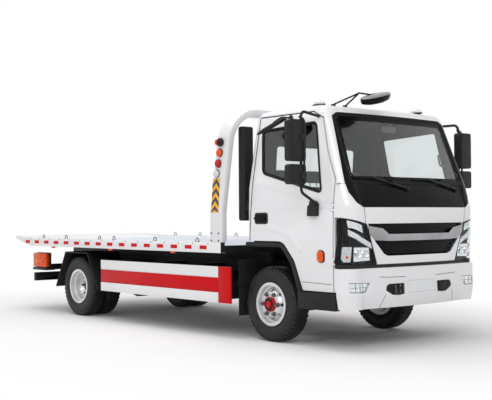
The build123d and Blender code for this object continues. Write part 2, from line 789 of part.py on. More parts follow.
# Ladder frame: two channel rails, crossmembers, cab posts and bumper horns
crossmember_places = [frame_front_x - overrun, rear_axle_x + spring_crossmember_reach,
                      rear_axle_x - spring_crossmember_reach, frame_tail_x + overrun]
crossmember_places += [front_axle_x - share * wheelbase for share in free_crossmember_shares]
cab_post_x = cab_rear_x + cab_post_reach
# centre x, centre y, half length, height of the seat on the axle
spring_rows = (
    (front_axle_x, spring_y, front_spring_half, axle_z - axle_beam_drop + axle_beam_height / 2),
    (rear_axle_x, rear_spring_y, rear_spring_half, axle_z + axle_tube_radius),
)
with BuildPart() as chassis_frame:
    for side in both_sides:
        inner_y = frame_half_width - frame_rail_flange
        lengthways([(side * frame_half_width, frame_bottom_z), (side * inner_y, frame_bottom_z),
                    (side * inner_y, frame_bottom_z + frame_rail_gauge),
                    (side * rail_inner_y, frame_bottom_z + frame_rail_gauge),
                    (side * rail_inner_y, frame_top_z - frame_rail_gauge),
                    (side * inner_y, frame_top_z - frame_rail_gauge), (side * inner_y, frame_top_z),
                    (side * frame_half_width, frame_top_z)], frame_tail_x, frame_front_x)
        y_low, y_high = mirror_range(side, inner_y, frame_half_width)
        across(box_outline(cab_post_x - overrun, cab_post_x + overrun, frame_top_z,
                           platform_z), y_low, y_high)
        lengthways(box_outline(y_low, y_high, frame_bottom_z + overrun / 2, frame_top_z - overrun / 2),
                   frame_front_x - overrun, bumper_horn_x)
        for spring_x, centre_y, half_length, seat_z in spring_rows:
            eye_top_z = seat_z + spring_sag + spring_eye_radius + seat_gap
            outer_y = centre_y + spring_width / 2
            y_low, y_high = mirror_range(side, min(outer_y, frame_half_width) - spring_width, outer_y)
            for end in both_sides:
                eye_x = spring_x + end * half_length
                across(box_outline(eye_x - hanger_length / 2, eye_x + hanger_length / 2, eye_top_z,
                                   max(eye_top_z + hanger_length, frame_bottom_z + frame_rail_gauge)),
                       y_low, y_high)
    for place in crossmember_places:
        across(box_outline(place - crossmember_depth / 2, place + crossmember_depth / 2,
                           frame_top_z - frame_rail_gauge - crossmember_height,
                           frame_top_z - frame_rail_gauge), -rail_inner_y, rail_inner_y)
    bar((barrel_pin_x, -rail_inner_y, barrel_pin_z), (barrel_pin_x, rail_inner_y, barrel_pin_z),
        lift_pin_radius)
finish(chassis_frame, "chassis_frame")

# Tow body subframe with the plates and shaft that the tilt frame turns on
with BuildPart() as subframe:
    for side in both_sides:
        y_low, y_high = mirror_range(side, frame_half_width - subframe_rail_width, frame_half_width)
        across(box_outline(subframe_tail_x, subframe_front_x, frame_top_z, subframe_top_z), y_low, y_high)
        plate_low, plate_high = mirror_range(side, frame_half_width, frame_half_width + pivot_plate_gauge)
        across([(subframe_tail_x + 3 * overrun, frame_bottom_z + overrun),
                (subframe_tail_x + 3 * overrun, subframe_top_z - overrun / 2),
                (pivot_x + pivot_plate_radius, pivot_z + pivot_plate_radius),
                (pivot_x - pivot_plate_radius, pivot_z + pivot_plate_radius),
                (pivot_x - pivot_plate_radius, pivot_z - pivot_plate_radius),
                (subframe_tail_x, frame_bottom_z + overrun)], plate_low, plate_high)
    across(box_outline(subframe_front_x - subframe_rail_width, subframe_front_x, frame_top_z,
                       subframe_top_z), -frame_half_width, frame_half_width)
    across(box_outline(subframe_tail_x, subframe_tail_x + subframe_rail_width, frame_top_z,
                       subframe_top_z), -frame_half_width, frame_half_width)
    bar((pivot_x, -frame_half_width - pivot_plate_gauge, pivot_z),
        (pivot_x, frame_half_width + pivot_plate_gauge, pivot_z), pivot_shaft_radius)
finish(subframe, "subframe")

# Tilt frame, with an eye round the shaft at its tail and lugs for the lift rods
lug_gauge = 14
lug_play = 3
lug_gap = lift_eye_width / 2 + lug_play
tilt_crossmember_shares = (0.40, 0.92, 1.134)
tilt_crossmembers = [tilt_frame_front_x - overrun, rod_pin_x + 4 * overrun]
tilt_crossmembers += [front_axle_x - share * wheelbase for share in tilt_crossmember_shares]
with BuildPart() as tilt_frame:
    for side in both_sides:
        y_low, y_high = mirror_range(side, frame_half_width - tilt_rail_width, frame_half_width - seat_gap)
        across([(pivot_x - overrun, tilt_frame_top_z), (pivot_x - overrun, tilt_frame_bottom_z),
                (tilt_frame_front_x, tilt_frame_bottom_z), (tilt_frame_front_x, tilt_frame_top_z)],
               y_low, y_high)
        for lug_side in both_sides:
            y_low, y_high = mirror_range(side, lift_y + lug_side * lug_gap,
                                         lift_y + lug_side * (lug_gap + lug_gauge))
            across([(rod_pin_x - overrun, rod_pin_z - overrun), (rod_pin_x + overrun, rod_pin_z - overrun),
                    (rod_pin_x + 4 * overrun, tilt_frame_top_z - overrun),
                    (rod_pin_x + 4 * overrun, tilt_frame_top_z),
                    (rod_pin_x - overrun, tilt_frame_top_z)], y_low, y_high)
    for place in tilt_crossmembers:
        across(box_outline(place - crossmember_depth / 2, place + crossmember_depth / 2,
                           tilt_frame_top_z - overrun, tilt_frame_top_z),
               tilt_rail_width - frame_half_width, frame_half_width - tilt_rail_width)
    bar((pivot_x, -frame_half_width, pivot_z), (pivot_x, frame_half_width, pivot_z),
        pivot_shaft_radius + pin_gap, mode=Mode.SUBTRACT)
finish(tilt_frame, "tilt_frame")

# Lift cylinders
lift_run = Vector(rod_pin_x - barrel_pin_x, 0, rod_pin_z - barrel_pin_z)
lift_angle = degrees(atan2(lift_run.Z, lift_run.X))
lift_way = lift_run.normalized()


def along_lift(distance, y):
    point = Vector(barrel_pin_x, y, barrel_pin_z) + lift_way * distance
    return (point.X, point.Y, point.Z)


gland_length = 50
with BuildPart() as lift_barrels:
    for side in both_sides:
        y = side * lift_y
        bar((barrel_pin_x, y - lift_eye_width / 2, barrel_pin_z),
            (barrel_pin_x, y + lift_eye_width / 2, barrel_pin_z), lift_eye_radius)
        bar(along_lift(lift_pin_radius + gland_length / 2, y), along_lift(barrel_length, y), barrel_radius)
        bar(along_lift(lift_pin_radius, y), along_lift(2 * gland_length, y), lift_eye_width / 2)
    for side in both_sides:
        y = side * lift_y
        bar(along_lift(2 * gland_length, y), along_lift(barrel_length - gland_length, y), barrel_bore,
            mode=Mode.SUBTRACT)
        bar(along_lift(barrel_length - 2 * gland_length, y), along_lift(barrel_length + overrun, y),
            rod_radius + pin_gap, mode=Mode.SUBTRACT)
        bar((barrel_pin_x, y - lift_eye_width, barrel_pin_z),
            (barrel_pin_x, y + lift_eye_width, barrel_pin_z), lift_pin_radius + pin_gap, mode=Mode.SUBTRACT)
finish(lift_barrels, "lift_barrels")

with BuildPart() as lift_rods:
    for side in both_sides:
        y = side * lift_y
        bar(along_lift(2 * gland_length + lift_pin_radius, y), along_lift(lift_run.length, y), rod_radius)
        bar(along_lift(2 * gland_length + lift_pin_radius, y), along_lift(3 * gland_length, y),
            barrel_bore - pin_gap)
        bar((rod_pin_x, y - lift_eye_width / 2, rod_pin_z), (rod_pin_x, y + lift_eye_width / 2, rod_pin_z),
            lift_eye_radius)
finish(lift_rods, "lift_rods")

# Bed: deck plate, side rails with the rising tail, bearers and two long beams
deck_bottom_z = deck_top_z - deck_gauge
bed_half_width = bed_width / 2
bearer_pitch = (bed_front_x - bearer_width - tail_kink_x) / (bearer_count - 1)
beam_bottom_z = tilt_frame_bottom_z + overrun / 2
bearer_bottom_z = tilt_frame_top_z + seat_gap
with BuildPart() as bed:
    for side in both_sides:
        y_low, y_high = mirror_range(side, bed_half_width - bed_rail_width, bed_half_width)
        across([(bed_front_x, bed_rail_bottom_z), (bed_front_x, bed_rail_top_z),
                (tail_kink_x, bed_rail_top_z), (tail_x, tail_tip_top_z), (tail_x, tail_tip_bottom_z),
                (tail_kink_x, bed_rail_bottom_z)], y_low, y_high)
        y_low, y_high = mirror_range(side, bed_beam_y - bed_beam_width / 2, bed_beam_y + bed_beam_width / 2)
        across(box_outline(tail_kink_x, bed_front_x, beam_bottom_z, deck_bottom_z), y_low, y_high)
    across([(bed_front_x, deck_bottom_z), (bed_front_x, deck_top_z), (tail_kink_x, deck_top_z),
            (tail_x, tail_tip_top_z), (tail_x, tail_tip_bottom_z), (tail_kink_x, deck_bottom_z)],
           bed_rail_width - bed_half_width, bed_half_width - bed_rail_width)
    pad_half_length = winch_height / 2 + winch_pad_margin
    pad_half_width = winch_half_width + winch_plate_gauge + winch_pad_margin
    across(box_outline(winch_x - pad_half_length, winch_x + pad_half_length, deck_bottom_z, winch_foot_z),
           -pad_half_width, pad_half_width)
    for step in range(bearer_count):
        bearer_x = tail_kink_x + step * bearer_pitch
        across(box_outline(bearer_x, bearer_x + bearer_width, bearer_bottom_z, deck_bottom_z),
               bed_rail_width - bed_half_width, bed_half_width - bed_rail_width)
finish(bed, "bed_deck")

# Hoop: its front view carried through, cut to the leaning side view
hoop_foot_z = bed_rail_top_z
with BuildPart() as hoop:
    with BuildSketch(Plane.YZ.offset(hoop_rear_x - overrun)) as hoop_front:
        with Locations((0, (hoop_foot_z + hoop_top_z) / 2)):
            Rectangle(2 * hoop_half_width, hoop_top_z - hoop_foot_z)
        fillet(hoop_front.vertices().group_by(Axis.Y)[-1], hoop_corner_radius)
        with BuildSketch(Plane.YZ.offset(hoop_rear_x - overrun), mode=Mode.SUBTRACT) as hoop_inside:
            with Locations((0, (hoop_foot_z + hoop_top_z - 2 * hoop_post_width) / 2)):
                Rectangle(2 * (hoop_half_width - hoop_post_width), hoop_top_z - hoop_foot_z)
            fillet(hoop_inside.vertices().group_by(Axis.Y)[-1], hoop_corner_radius - hoop_post_width)
    extrude(hoop_front.sketch, amount=hoop_depth + hoop_lean + 2 * overrun)
    across([(hoop_rear_x, hoop_foot_z), (hoop_rear_x + hoop_depth, hoop_foot_z),
            (hoop_rear_x + hoop_depth, hoop_plumb_z), (hoop_rear_x + hoop_depth + hoop_lean, hoop_top_z),
            (hoop_rear_x + hoop_lean, hoop_top_z), (hoop_rear_x, hoop_plumb_z)],
           -hoop_half_width, hoop_half_width, mode=Mode.INTERSECT)
finish(hoop, "hoop")

# Winch on the deck behind the cab: side plates and a drum on a shaft
drum_radius = 55
drum_flange_radius = 105
drum_shaft_radius = 25
with BuildPart() as winch:
    for side in both_sides:
        y_low, y_high = mirror_range(side, winch_half_width, winch_half_width + winch_plate_gauge)
        across(box_outline(winch_x - winch_height / 2, winch_x + winch_height / 2, winch_foot_z,
                           winch_foot_z + winch_height), y_low, y_high, overrun)
    across(box_outline(winch_x - winch_height / 2 + overrun, winch_x + winch_height / 2 - overrun,
                       winch_foot_z, winch_foot_z + winch_plate_gauge), -winch_half_width, winch_half_width)
    bar((winch_x, winch_half_width + winch_plate_gauge, winch_z),
        (winch_x, winch_half_width + winch_height, winch_z), drum_radius)
    bar((winch_x, -winch_half_width - overrun, winch_z), (winch_x, winch_half_width + overrun, winch_z),
        drum_shaft_radius + pin_gap, mode=Mode.SUBTRACT)
finish(winch, "winch_frame")

with BuildPart() as winch_drum:
    drum_end = winch_half_width - winch_plate_gauge / 2
    turned([(0, -drum_end - overrun), (drum_shaft_radius, -drum_end - overrun),
            (drum_shaft_radius, -drum_end), (drum_flange_radius, -drum_end),
            (drum_flange_radius, winch_plate_gauge - drum_end), (drum_radius, winch_plate_gauge - drum_end),
            (drum_radius, drum_end - winch_plate_gauge), (drum_flange_radius, drum_end - winch_plate_gauge),
            (drum_flange_radius, drum_end), (drum_shaft_radius, drum_end),
            (drum_shaft_radius, drum_end + overrun), (0, drum_end + overrun)], winch_x, winch_z)
finish(winch_drum, "winch_drum")


# Wheels
def tyre_ring(x, y, z):
    """One tyre: tread, rounded shoulders, bulged sidewalls and beads."""
    half_tread = tread_width / 2
    half_bead = bead_width / 2
    shoulder_radius = tyre_radius - shoulder_drop
    flange_top = rim_flange_radius + seat_gap
    bulge_radius = (flange_top + shoulder_radius) / 2
    with BuildSketch(Plane(origin=(x, y, z), x_dir=(1, 0, 0), z_dir=(0, 0, 1))) as section:
        with BuildLine():
            Line((bead_radius, -half_bead), (bead_radius, half_bead))
            Line((bead_radius, half_bead), (flange_top, half_bead))
            ThreePointArc((flange_top, half_bead), (bulge_radius, tyre_width / 2),
                          (shoulder_radius, half_tread + shoulder_drop))
            Line((shoulder_radius, half_tread + shoulder_drop), (tyre_radius, half_tread))
            Line((tyre_radius, half_tread), (tyre_radius, -half_tread))
            Line((tyre_radius, -half_tread), (shoulder_radius, -half_tread - shoulder_drop))
            ThreePointArc((shoulder_radius, -half_tread - shoulder_drop), (bulge_radius, -tyre_width / 2),
                          (flange_top, -half_bead))
            Line((flange_top, -half_bead), (bead_radius, -half_bead))
        make_face()
    revolve(section.sketch, axis=Axis((x, y, z), (0, 1, 0)))


def rim_barrel(x, y, z):
    """The rolled band of a rim, its flanges outside the tyre's beads."""
    half = bead_width / 2
    edge = half + rim_flange_width
    well = rim_well_width / 2
    inner = rim_well_radius - rim_gauge
    inner_well = well + rim_gauge / 2
    turned([(rim_flange_radius, y - edge), (rim_flange_radius, y - half), (bead_radius, y - half),
            (bead_radius, y - well - rim_gauge), (rim_well_radius, y - well), (rim_well_radius, y + well),
            (bead_radius, y + well + rim_gauge), (bead_radius, y + half), (rim_flange_radius, y + half),
            (rim_flange_radius, y + edge), (bead_radius - rim_gauge, y + edge),
            (bead_radius - rim_gauge, y + inner_well + rim_gauge), (inner, y + inner_well),
            (inner, y - inner_well), (bead_radius - rim_gauge, y - inner_well - rim_gauge),
            (bead_radius - rim_gauge, y - edge)], x, z)


def hand_hole_ring(x, y_low, y_high, z):
    """Round hand holes through the wheel's disc."""
    plane = Plane(origin=(x, y_low, z), x_dir=(1, 0, 0), z_dir=(0, 1, 0))
    with BuildSketch(plane) as holes:
        with PolarLocations(hand_hole_circle_radius, hand_holes):
            Circle(hand_hole_radius)
    extrude(holes.sketch, amount=y_high - y_low, mode=Mode.SUBTRACT)


disc_bulge = 58
hub_depth = 80
for side in both_sides:
    wheel_y = side * front_wheel_y
    with BuildPart() as front_tyre:
        tyre_ring(front_axle_x, wheel_y, axle_z)
    finish(front_tyre, f"front_{side_name[side]}_tyre")

    disc_foot_y = wheel_y + side * rim_well_width / 2
    disc_top_y = disc_foot_y + side * disc_bulge
    with BuildPart() as front_rim:
        rim_barrel(front_axle_x, wheel_y, axle_z)
        turned([(rim_well_radius - rim_gauge / 2, disc_foot_y - side * 2 * disc_gauge),
                (rim_well_radius - rim_gauge / 2, disc_foot_y - side * disc_gauge),
                (bolt_circle_radius + 2 * disc_gauge, disc_top_y),
                (0, disc_top_y), (0, disc_top_y - side * disc_gauge),
                (bolt_circle_radius + disc_gauge, disc_top_y - side * disc_gauge)], front_axle_x, axle_z)
        turned([(0, disc_top_y - side * hub_depth), (hub_radius, disc_top_y - side * hub_depth),
                (hub_radius, disc_top_y + side * 2 * disc_gauge), (0, disc_top_y + side * 2 * disc_gauge)],
               front_axle_x, axle_z)
        bar((front_axle_x, wheel_y - side * tyre_width, axle_z), (front_axle_x, side * stub_end_y, axle_z),
            stub_radius + pin_gap, mode=Mode.SUBTRACT)
        hand_hole_ring(front_axle_x, wheel_y - tyre_width / 2, wheel_y + tyre_width / 2, axle_z)
    finish(front_rim, f"front_{side_name[side]}_rim")

    # Knuckle: lugs over and under the axle's end, the kingpin through it, and the stub axle
    with BuildPart() as knuckle:
        pin_x, pin_y = front_axle_x, side * kingpin_y
        lug_low = kingpin_boss_height / 2 + seat_gap
        lug_high = lug_low + knuckle_lug
        bar((pin_x, pin_y, axle_z - lug_high), (pin_x, pin_y, axle_z + lug_high), kingpin_radius)
        for end in both_sides:
            z_low, z_high = mirror_range(end, lug_low, lug_high)
            bar((pin_x, pin_y, axle_z + z_low), (pin_x, pin_y, axle_z + z_high), kingpin_boss_radius)
            lug_y = mirror_range(side, kingpin_y, kingpin_y + kingpin_boss_radius + 2 * disc_gauge)
            upright(box_outline(pin_x - kingpin_boss_radius, pin_x + kingpin_boss_radius, *lug_y),
                    axle_z + z_low, axle_z + z_high)
        plate_y = mirror_range(side, kingpin_y + kingpin_boss_radius + seat_gap * 10,
                               kingpin_y + kingpin_boss_radius + 2 * disc_gauge)
        upright(box_outline(pin_x - kingpin_boss_radius, pin_x + kingpin_boss_radius, *plate_y),
                axle_z - lug_high, axle_z + lug_high)
        bar((pin_x, plate_y[0], axle_z), (pin_x, side * (stub_end_y - disc_gauge), axle_z)
            if side > 0 else (pin_x, side * (stub_end_y - disc_gauge), axle_z), stub_radius)
    finish(knuckle, f"{side_name[side]}_knuckle")

    # Rear twin wheels on one hub
    with BuildPart() as rear_tyres:
        for wheel_y in (inner_twin_y, outer_twin_y):
            tyre_ring(rear_axle_x, side * wheel_y, axle_z)
    finish(rear_tyres, f"rear_{side_name[side]}_tyres")

    with BuildPart() as rear_rims:
        for wheel_y, face in ((inner_twin_y, -1), (outer_twin_y, 1)):
            rim_barrel(rear_axle_x, side * wheel_y, axle_z)
            face_y = side * twin_face_y
            foot_y = side * (wheel_y - face * rim_well_width / 2)
            reach = side * face * disc_gauge
            turned([(rim_well_radius - rim_gauge / 2, foot_y + 2 * reach),
                    (rim_well_radius - rim_gauge / 2, foot_y + reach),
                    (bolt_circle_radius + 2 * disc_gauge, face_y), (0, face_y), (0, face_y + reach),
                    (bolt_circle_radius + disc_gauge, face_y + reach)], rear_axle_x, axle_z)
        bar((rear_axle_x, side * (twin_face_y - hub_depth), axle_z),
            (rear_axle_x, side * (twin_face_y + hub_depth), axle_z), hub_radius + disc_gauge)
        bar((rear_axle_x, side * (twin_face_y - 2 * hub_depth), axle_z),
            (rear_axle_x, side * spindle_end_y, axle_z), spindle_radius + pin_gap, mode=Mode.SUBTRACT)
        hand_hole_ring(rear_axle_x, *mirror_range(side, inner_twin_y - tyre_width, outer_twin_y + tyre_width),
                       axle_z)
    finish(rear_rims, f"rear_{side_name[side]}_rims")

# Axles and springs
with BuildPart() as front_axle:
    beam_low_z = axle_z - axle_beam_drop - axle_beam_height / 2
    rise_y = kingpin_y - 2 * overrun
    flat_y = frame_half_width + overrun / 2
    lengthways([(-kingpin_y, axle_z + axle_beam_height / 2), (-rise_y, axle_z + axle_beam_height / 2),
                (-flat_y, beam_low_z + axle_beam_height), (flat_y, beam_low_z + axle_beam_height),
                (rise_y, axle_z + axle_beam_height / 2), (kingpin_y, axle_z + axle_beam_height / 2),
                (kingpin_y, axle_z - axle_beam_height / 2), (rise_y, axle_z - axle_beam_height / 2),
                (flat_y, beam_low_z), (-flat_y, beam_low_z), (-rise_y, axle_z - axle_beam_height / 2),
                (-kingpin_y, axle_z - axle_beam_height / 2)],
               front_axle_x - axle_beam_width / 2, front_axle_x + axle_beam_width / 2)
    for side in both_sides:
        bar((front_axle_x, side * kingpin_y, axle_z - kingpin_boss_height / 2),
            (front_axle_x, side * kingpin_y, axle_z + kingpin_boss_height / 2), kingpin_boss_radius)
    for side in both_sides:
        bar((front_axle_x, side * kingpin_y, axle_z - kingpin_boss_height),
            (front_axle_x, side * kingpin_y, axle_z + kingpin_boss_height), kingpin_radius + pin_gap,
            mode=Mode.SUBTRACT)
finish(front_axle, "front_axle")

with BuildPart() as rear_axle:
    spindle_start_y = inner_twin_y - tyre_width / 2
    turned([(0, -spindle_end_y + disc_gauge), (spindle_radius, -spindle_end_y + disc_gauge),
            (spindle_radius, -spindle_start_y), (axle_tube_radius, -spindle_start_y),
            (axle_tube_radius, -2 * diff_half_width), (diff_radius, -diff_half_width / 2),
            (diff_radius, diff_half_width / 2), (axle_tube_radius, 2 * diff_half_width),
            (axle_tube_radius, spindle_start_y), (spindle_radius, spindle_start_y),
            (spindle_radius, spindle_end_y - disc_gauge), (0, spindle_end_y - disc_gauge)],
           rear_axle_x, axle_z)
finish(rear_axle, "rear_axle")

with BuildPart() as leaf_springs:
    for spring_x, centre_y, half_length, seat_z in spring_rows:
        for side in both_sides:
            y_low, y_high = mirror_range(side, centre_y - spring_width / 2, centre_y + spring_width / 2)
            for step in range(leaf_count):
                # the lowest leaf is the shortest, and each lies on the sag of a flat parabola
                share = (step + leaf_count) / (2 * leaf_count - 1)
                reach = share * half_length
                low_z = seat_z + step * leaf_gauge
                end_z = low_z + share ** 2 * (spring_sag - (leaf_count - 1) * leaf_gauge)
                with BuildSketch(Plane.XZ.offset(-y_low)) as leaf:
                    with BuildLine():
                        ThreePointArc((spring_x - reach, end_z), (spring_x, low_z), (spring_x + reach, end_z))
                        Line((spring_x + reach, end_z), (spring_x + reach, end_z + leaf_gauge))
                        ThreePointArc((spring_x + reach, end_z + leaf_gauge),
                                      (spring_x, low_z + leaf_gauge), (spring_x - reach, end_z + leaf_gauge))
                        Line((spring_x - reach, end_z + leaf_gauge), (spring_x - reach, end_z))
                    make_face()
                extrude(leaf.sketch, amount=y_low - y_high)
            eye_z = seat_z + spring_sag
            for end in both_sides:
                eye_x = spring_x + end * half_length
                bar((eye_x, y_low, eye_z), (eye_x, y_high, eye_z), spring_eye_radius)
finish(leaf_springs, "leaf_springs")

# Engine, gearbox and shaft
engine_rear_reach = 350
engine_front_reach = 500
engine_rear_x = front_axle_x - engine_rear_reach
engine_front_x = front_axle_x + engine_front_reach
engine_half_width = 265
engine_bottom_z = 470
engine_top_z = 955
gearbox_length = 600
gearbox_rear_x = engine_rear_x - gearbox_length
shaft_z = 520
shaft_radius = 40
joint_radius = 64
with BuildPart() as engine_block:
    across(box_outline(engine_rear_x, engine_front_x, engine_bottom_z, engine_top_z), -engine_half_width,
           engine_half_width)
finish(engine_block, "engine_block")

with BuildPart() as drive_line:
    with BuildSketch(Plane.YZ.offset(gearbox_rear_x)) as gearbox_tail:
        with Locations((0, shaft_z)):
            Circle(2 * shaft_radius)
    with BuildSketch(Plane.YZ.offset(engine_rear_x)) as gearbox_head:
        with Locations((0, shaft_z + 2 * shaft_radius)):
            Circle(4 * shaft_radius)
    loft([gearbox_tail.sketch, gearbox_head.sketch])
    bar((gearbox_rear_x + shaft_radius, 0, shaft_z), (rear_axle_x + diff_radius + shaft_radius, 0, axle_z),
        shaft_radius)
    bar((rear_axle_x + diff_radius + 2 * shaft_radius, 0, axle_z), (rear_axle_x + diff_radius, 0, axle_z),
        joint_radius)
finish(drive_line, "drive_line")

# Side guards: three planks and a front end post on each side
guard_outer_y = 1095
guard_gauge = 25
guard_bottom_z = 372
guard_top_z = 760
guard_front_reach = 449
guard_post_width = 206
guard_rear_reach = 690
guard_front_x = front_axle_x - guard_front_reach
guard_split_x = guard_front_x - guard_post_width
guard_rear_x = rear_axle_x + guard_rear_reach
guard_plank_shares = (0.28, 0.69)
guard_seam_width = 5
guard_seam_depth = 6
guard_arm_depth = 40
guard_arm_drop = 16
guard_arms = 4
with BuildPart() as side_guards:
    for side in both_sides:
        y_low, y_high = mirror_range(side, guard_outer_y - guard_gauge, guard_outer_y)
        across(box_outline(guard_rear_x, guard_front_x, guard_bottom_z, guard_top_z), y_low, y_high)
        seam_y = mirror_range(side, guard_outer_y - guard_seam_depth, guard_outer_y + overrun)
        for share in guard_plank_shares:
            seam_z = guard_bottom_z + share * (guard_top_z - guard_bottom_z)
            across(box_outline(guard_rear_x - overrun, guard_split_x, seam_z, seam_z + guard_seam_width),
                   *seam_y, mode=Mode.SUBTRACT)
        across(box_outline(guard_split_x, guard_split_x + guard_seam_width, guard_bottom_z - overrun,
                           guard_top_z + overrun), *seam_y, mode=Mode.SUBTRACT)
        arm_pitch = (guard_split_x - guard_rear_x - 2 * overrun) / (guard_arms - 1)
        for step in range(guard_arms):
            arm_x = guard_rear_x + overrun + step * arm_pitch
            y_low, y_high = mirror_range(side, frame_half_width, guard_outer_y - guard_gauge)
            across(box_outline(arm_x - guard_arm_depth / 2, arm_x + guard_arm_depth / 2,
                               guard_top_z - guard_arm_drop - guard_arm_depth,
                               guard_top_z - guard_arm_drop), y_low, y_high)
finish(side_guards, "side_guards")

# Mudguards: folded fenders over the twins and flaps behind the front wheels
fender_gauge = 8
fender_inner_gap = 20
fender_outer_gap = 30
fender_inner_y = inner_twin_y - tyre_width / 2 - fender_inner_gap
fender_outer_y = rear_tyre_outer_y + fender_outer_gap
fender_top_z = 840
fender_bottom_z = 360
fender_foot_reach = 547
fender_top_reach = 287
fender_front_x = rear_axle_x + fender_foot_reach
fender_rear_x = rear_axle_x - fender_foot_reach
fender_top_front_x = rear_axle_x + fender_top_reach
fender_top_rear_x = rear_axle_x - fender_top_reach
fender_stay_drop = 40
fender_stay_z = subframe_top_z - fender_stay_drop
fender_stay_width = 24
flap_reach = 470
flap_x = front_axle_x - flap_reach
flap_bottom_z = 235
flap_top_z = 834
with BuildPart() as mudguards:
    for side in both_sides:
        y_low, y_high = mirror_range(side, fender_inner_y, fender_outer_y)
        across([(fender_front_x, fender_bottom_z), (fender_top_front_x, fender_top_z),
                (fender_top_rear_x, fender_top_z), (fender_rear_x, fender_bottom_z),
                (fender_rear_x + 2 * fender_gauge, fender_bottom_z),
                (fender_top_rear_x + fender_gauge, fender_top_z - 2 * fender_gauge),
                (fender_top_front_x - fender_gauge, fender_top_z - 2 * fender_gauge),
                (fender_front_x - 2 * fender_gauge, fender_bottom_z)], y_low, y_high)
        bar((rear_axle_x, side * frame_half_width, fender_stay_z),
            (rear_axle_x, side * (fender_inner_y - fender_stay_width / 2), fender_stay_z), fender_gauge)
        across(box_outline(rear_axle_x - fender_stay_width, rear_axle_x + fender_stay_width,
                           fender_stay_z - 2 * fender_gauge, fender_top_z - fender_gauge),
               *mirror_range(side, fender_inner_y - fender_stay_width / 2, fender_inner_y))
        y_low, y_high = mirror_range(side, frame_half_width + 2 * overrun, cab_half_width - overrun)
        across(box_outline(flap_x - fender_gauge, flap_x, flap_bottom_z, flap_top_z), y_low, y_high)
        y_low, y_high = mirror_range(side, frame_half_width, cab_half_width - overrun)
        across(box_outline(flap_x - 4 * fender_gauge, flap_x - fender_gauge, frame_bottom_z + overrun,
                           frame_bottom_z + 2 * overrun), y_low, y_high)
finish(mudguards, "mudguards")

# Fuel tank on the left, battery box on the right
tank_front_reach = 1000
tank_length = 1100
tank_front_x = front_axle_x - tank_front_reach
tank_rear_x = tank_front_x - tank_length
tank_inner_y = 450
tank_outer_y = 900
tank_bottom_z = 330
tank_top_z = 690
tank_corner = 80
tank_strap_shares = (0.2, 0.8)
battery_front_reach = 800
battery_length = 600
battery_front_x = front_axle_x - battery_front_reach
battery_rear_x = battery_front_x - battery_length
with BuildPart() as fuel_tank:
    lengthways(box_outline(tank_inner_y, tank_outer_y, tank_bottom_z, tank_top_z), tank_rear_x, tank_front_x,
               tank_corner)
    for share in tank_strap_shares:
        strap_x = tank_rear_x + share * (tank_front_x - tank_rear_x)
        across(box_outline(strap_x, strap_x + guard_arm_depth, tank_top_z - 3 * guard_arm_depth,
                           tank_top_z - 2 * guard_arm_depth), frame_half_width, tank_inner_y)
finish(fuel_tank, "fuel_tank")

with BuildPart() as battery_box:
    across(box_outline(battery_rear_x, battery_front_x, tank_bottom_z + overrun, tank_top_z),
           -tank_outer_y, -frame_half_width, overrun / 2)
finish(battery_box, "battery_box")

exhaust_y = -470
exhaust_z = 500
muffler_radius = 95
muffler_length = 800
muffler_front_reach = 1700
tail_pipe_length = 300
pipe_radius = 35
hanger_reach = 150
muffler_front_x = front_axle_x - muffler_front_reach
muffler_rear_x = muffler_front_x - muffler_length
with BuildPart() as exhaust:
    bar((muffler_front_x, exhaust_y, exhaust_z), (muffler_rear_x, exhaust_y, exhaust_z), muffler_radius)
    bar((muffler_rear_x, exhaust_y, exhaust_z), (muffler_rear_x - tail_pipe_length, exhaust_y, exhaust_z),
        pipe_radius)
    for hanger_x in (muffler_front_x - hanger_reach, muffler_rear_x + hanger_reach):
        across(box_outline(hanger_x - pipe_radius, hanger_x + pipe_radius, exhaust_z,
                           exhaust_z + 3 * pipe_radius), exhaust_y, -frame_half_width)
finish(exhaust, "exhaust")

# Rear bar under the tail and the tail lamps on their bracket
bar_setback = 424
bar_rear_x = tail_x + bar_setback
bar_depth = 60
bar_bottom_z = 415
bar_top_z = 530
bar_half_width = 1090
lamp_front_setback = 769
lamp_length = 378
lamp_front_x = tail_x + lamp_front_setback
lamp_rear_x = lamp_front_x - lamp_length
lamp_bottom_z = 605
lamp_top_z = 812
lamp_inner_y = 1000
lamp_outer_y = 1090
stay_width = 60
with BuildPart() as rear_bar:
    across(box_outline(bar_rear_x, bar_rear_x + bar_depth, bar_bottom_z, bar_top_z), -bar_half_width,
           bar_half_width)
    for side in both_sides:
        y_low, y_high = mirror_range(side, frame_half_width - stay_width, frame_half_width)
        across([(bar_rear_x, bar_bottom_z), (bar_rear_x + bar_depth, bar_bottom_z),
                (frame_tail_x + 2 * overrun, frame_bottom_z), (frame_tail_x, frame_bottom_z),
                (bar_rear_x, bar_top_z)], y_low, y_high)
        y_low, y_high = mirror_range(side, frame_half_width + pivot_plate_gauge, lamp_inner_y)
        across(box_outline(frame_tail_x + overrun, frame_tail_x + 2 * overrun, frame_bottom_z + overrun,
                           frame_top_z - overrun), y_low, y_high)
        across(box_outline(lamp_rear_x, lamp_front_x, frame_bottom_z + overrun, lamp_bottom_z),
               *mirror_range(side, lamp_inner_y - overrun, lamp_outer_y))
finish(rear_bar, "rear_bar")

with BuildPart() as tail_lamps:
    for side in both_sides:
        across(box_outline(lamp_rear_x, lamp_front_x, lamp_bottom_z, lamp_top_z),
               *mirror_range(side, lamp_inner_y, lamp_outer_y), overrun / 4)
finish(tail_lamps, "tail_lamps")

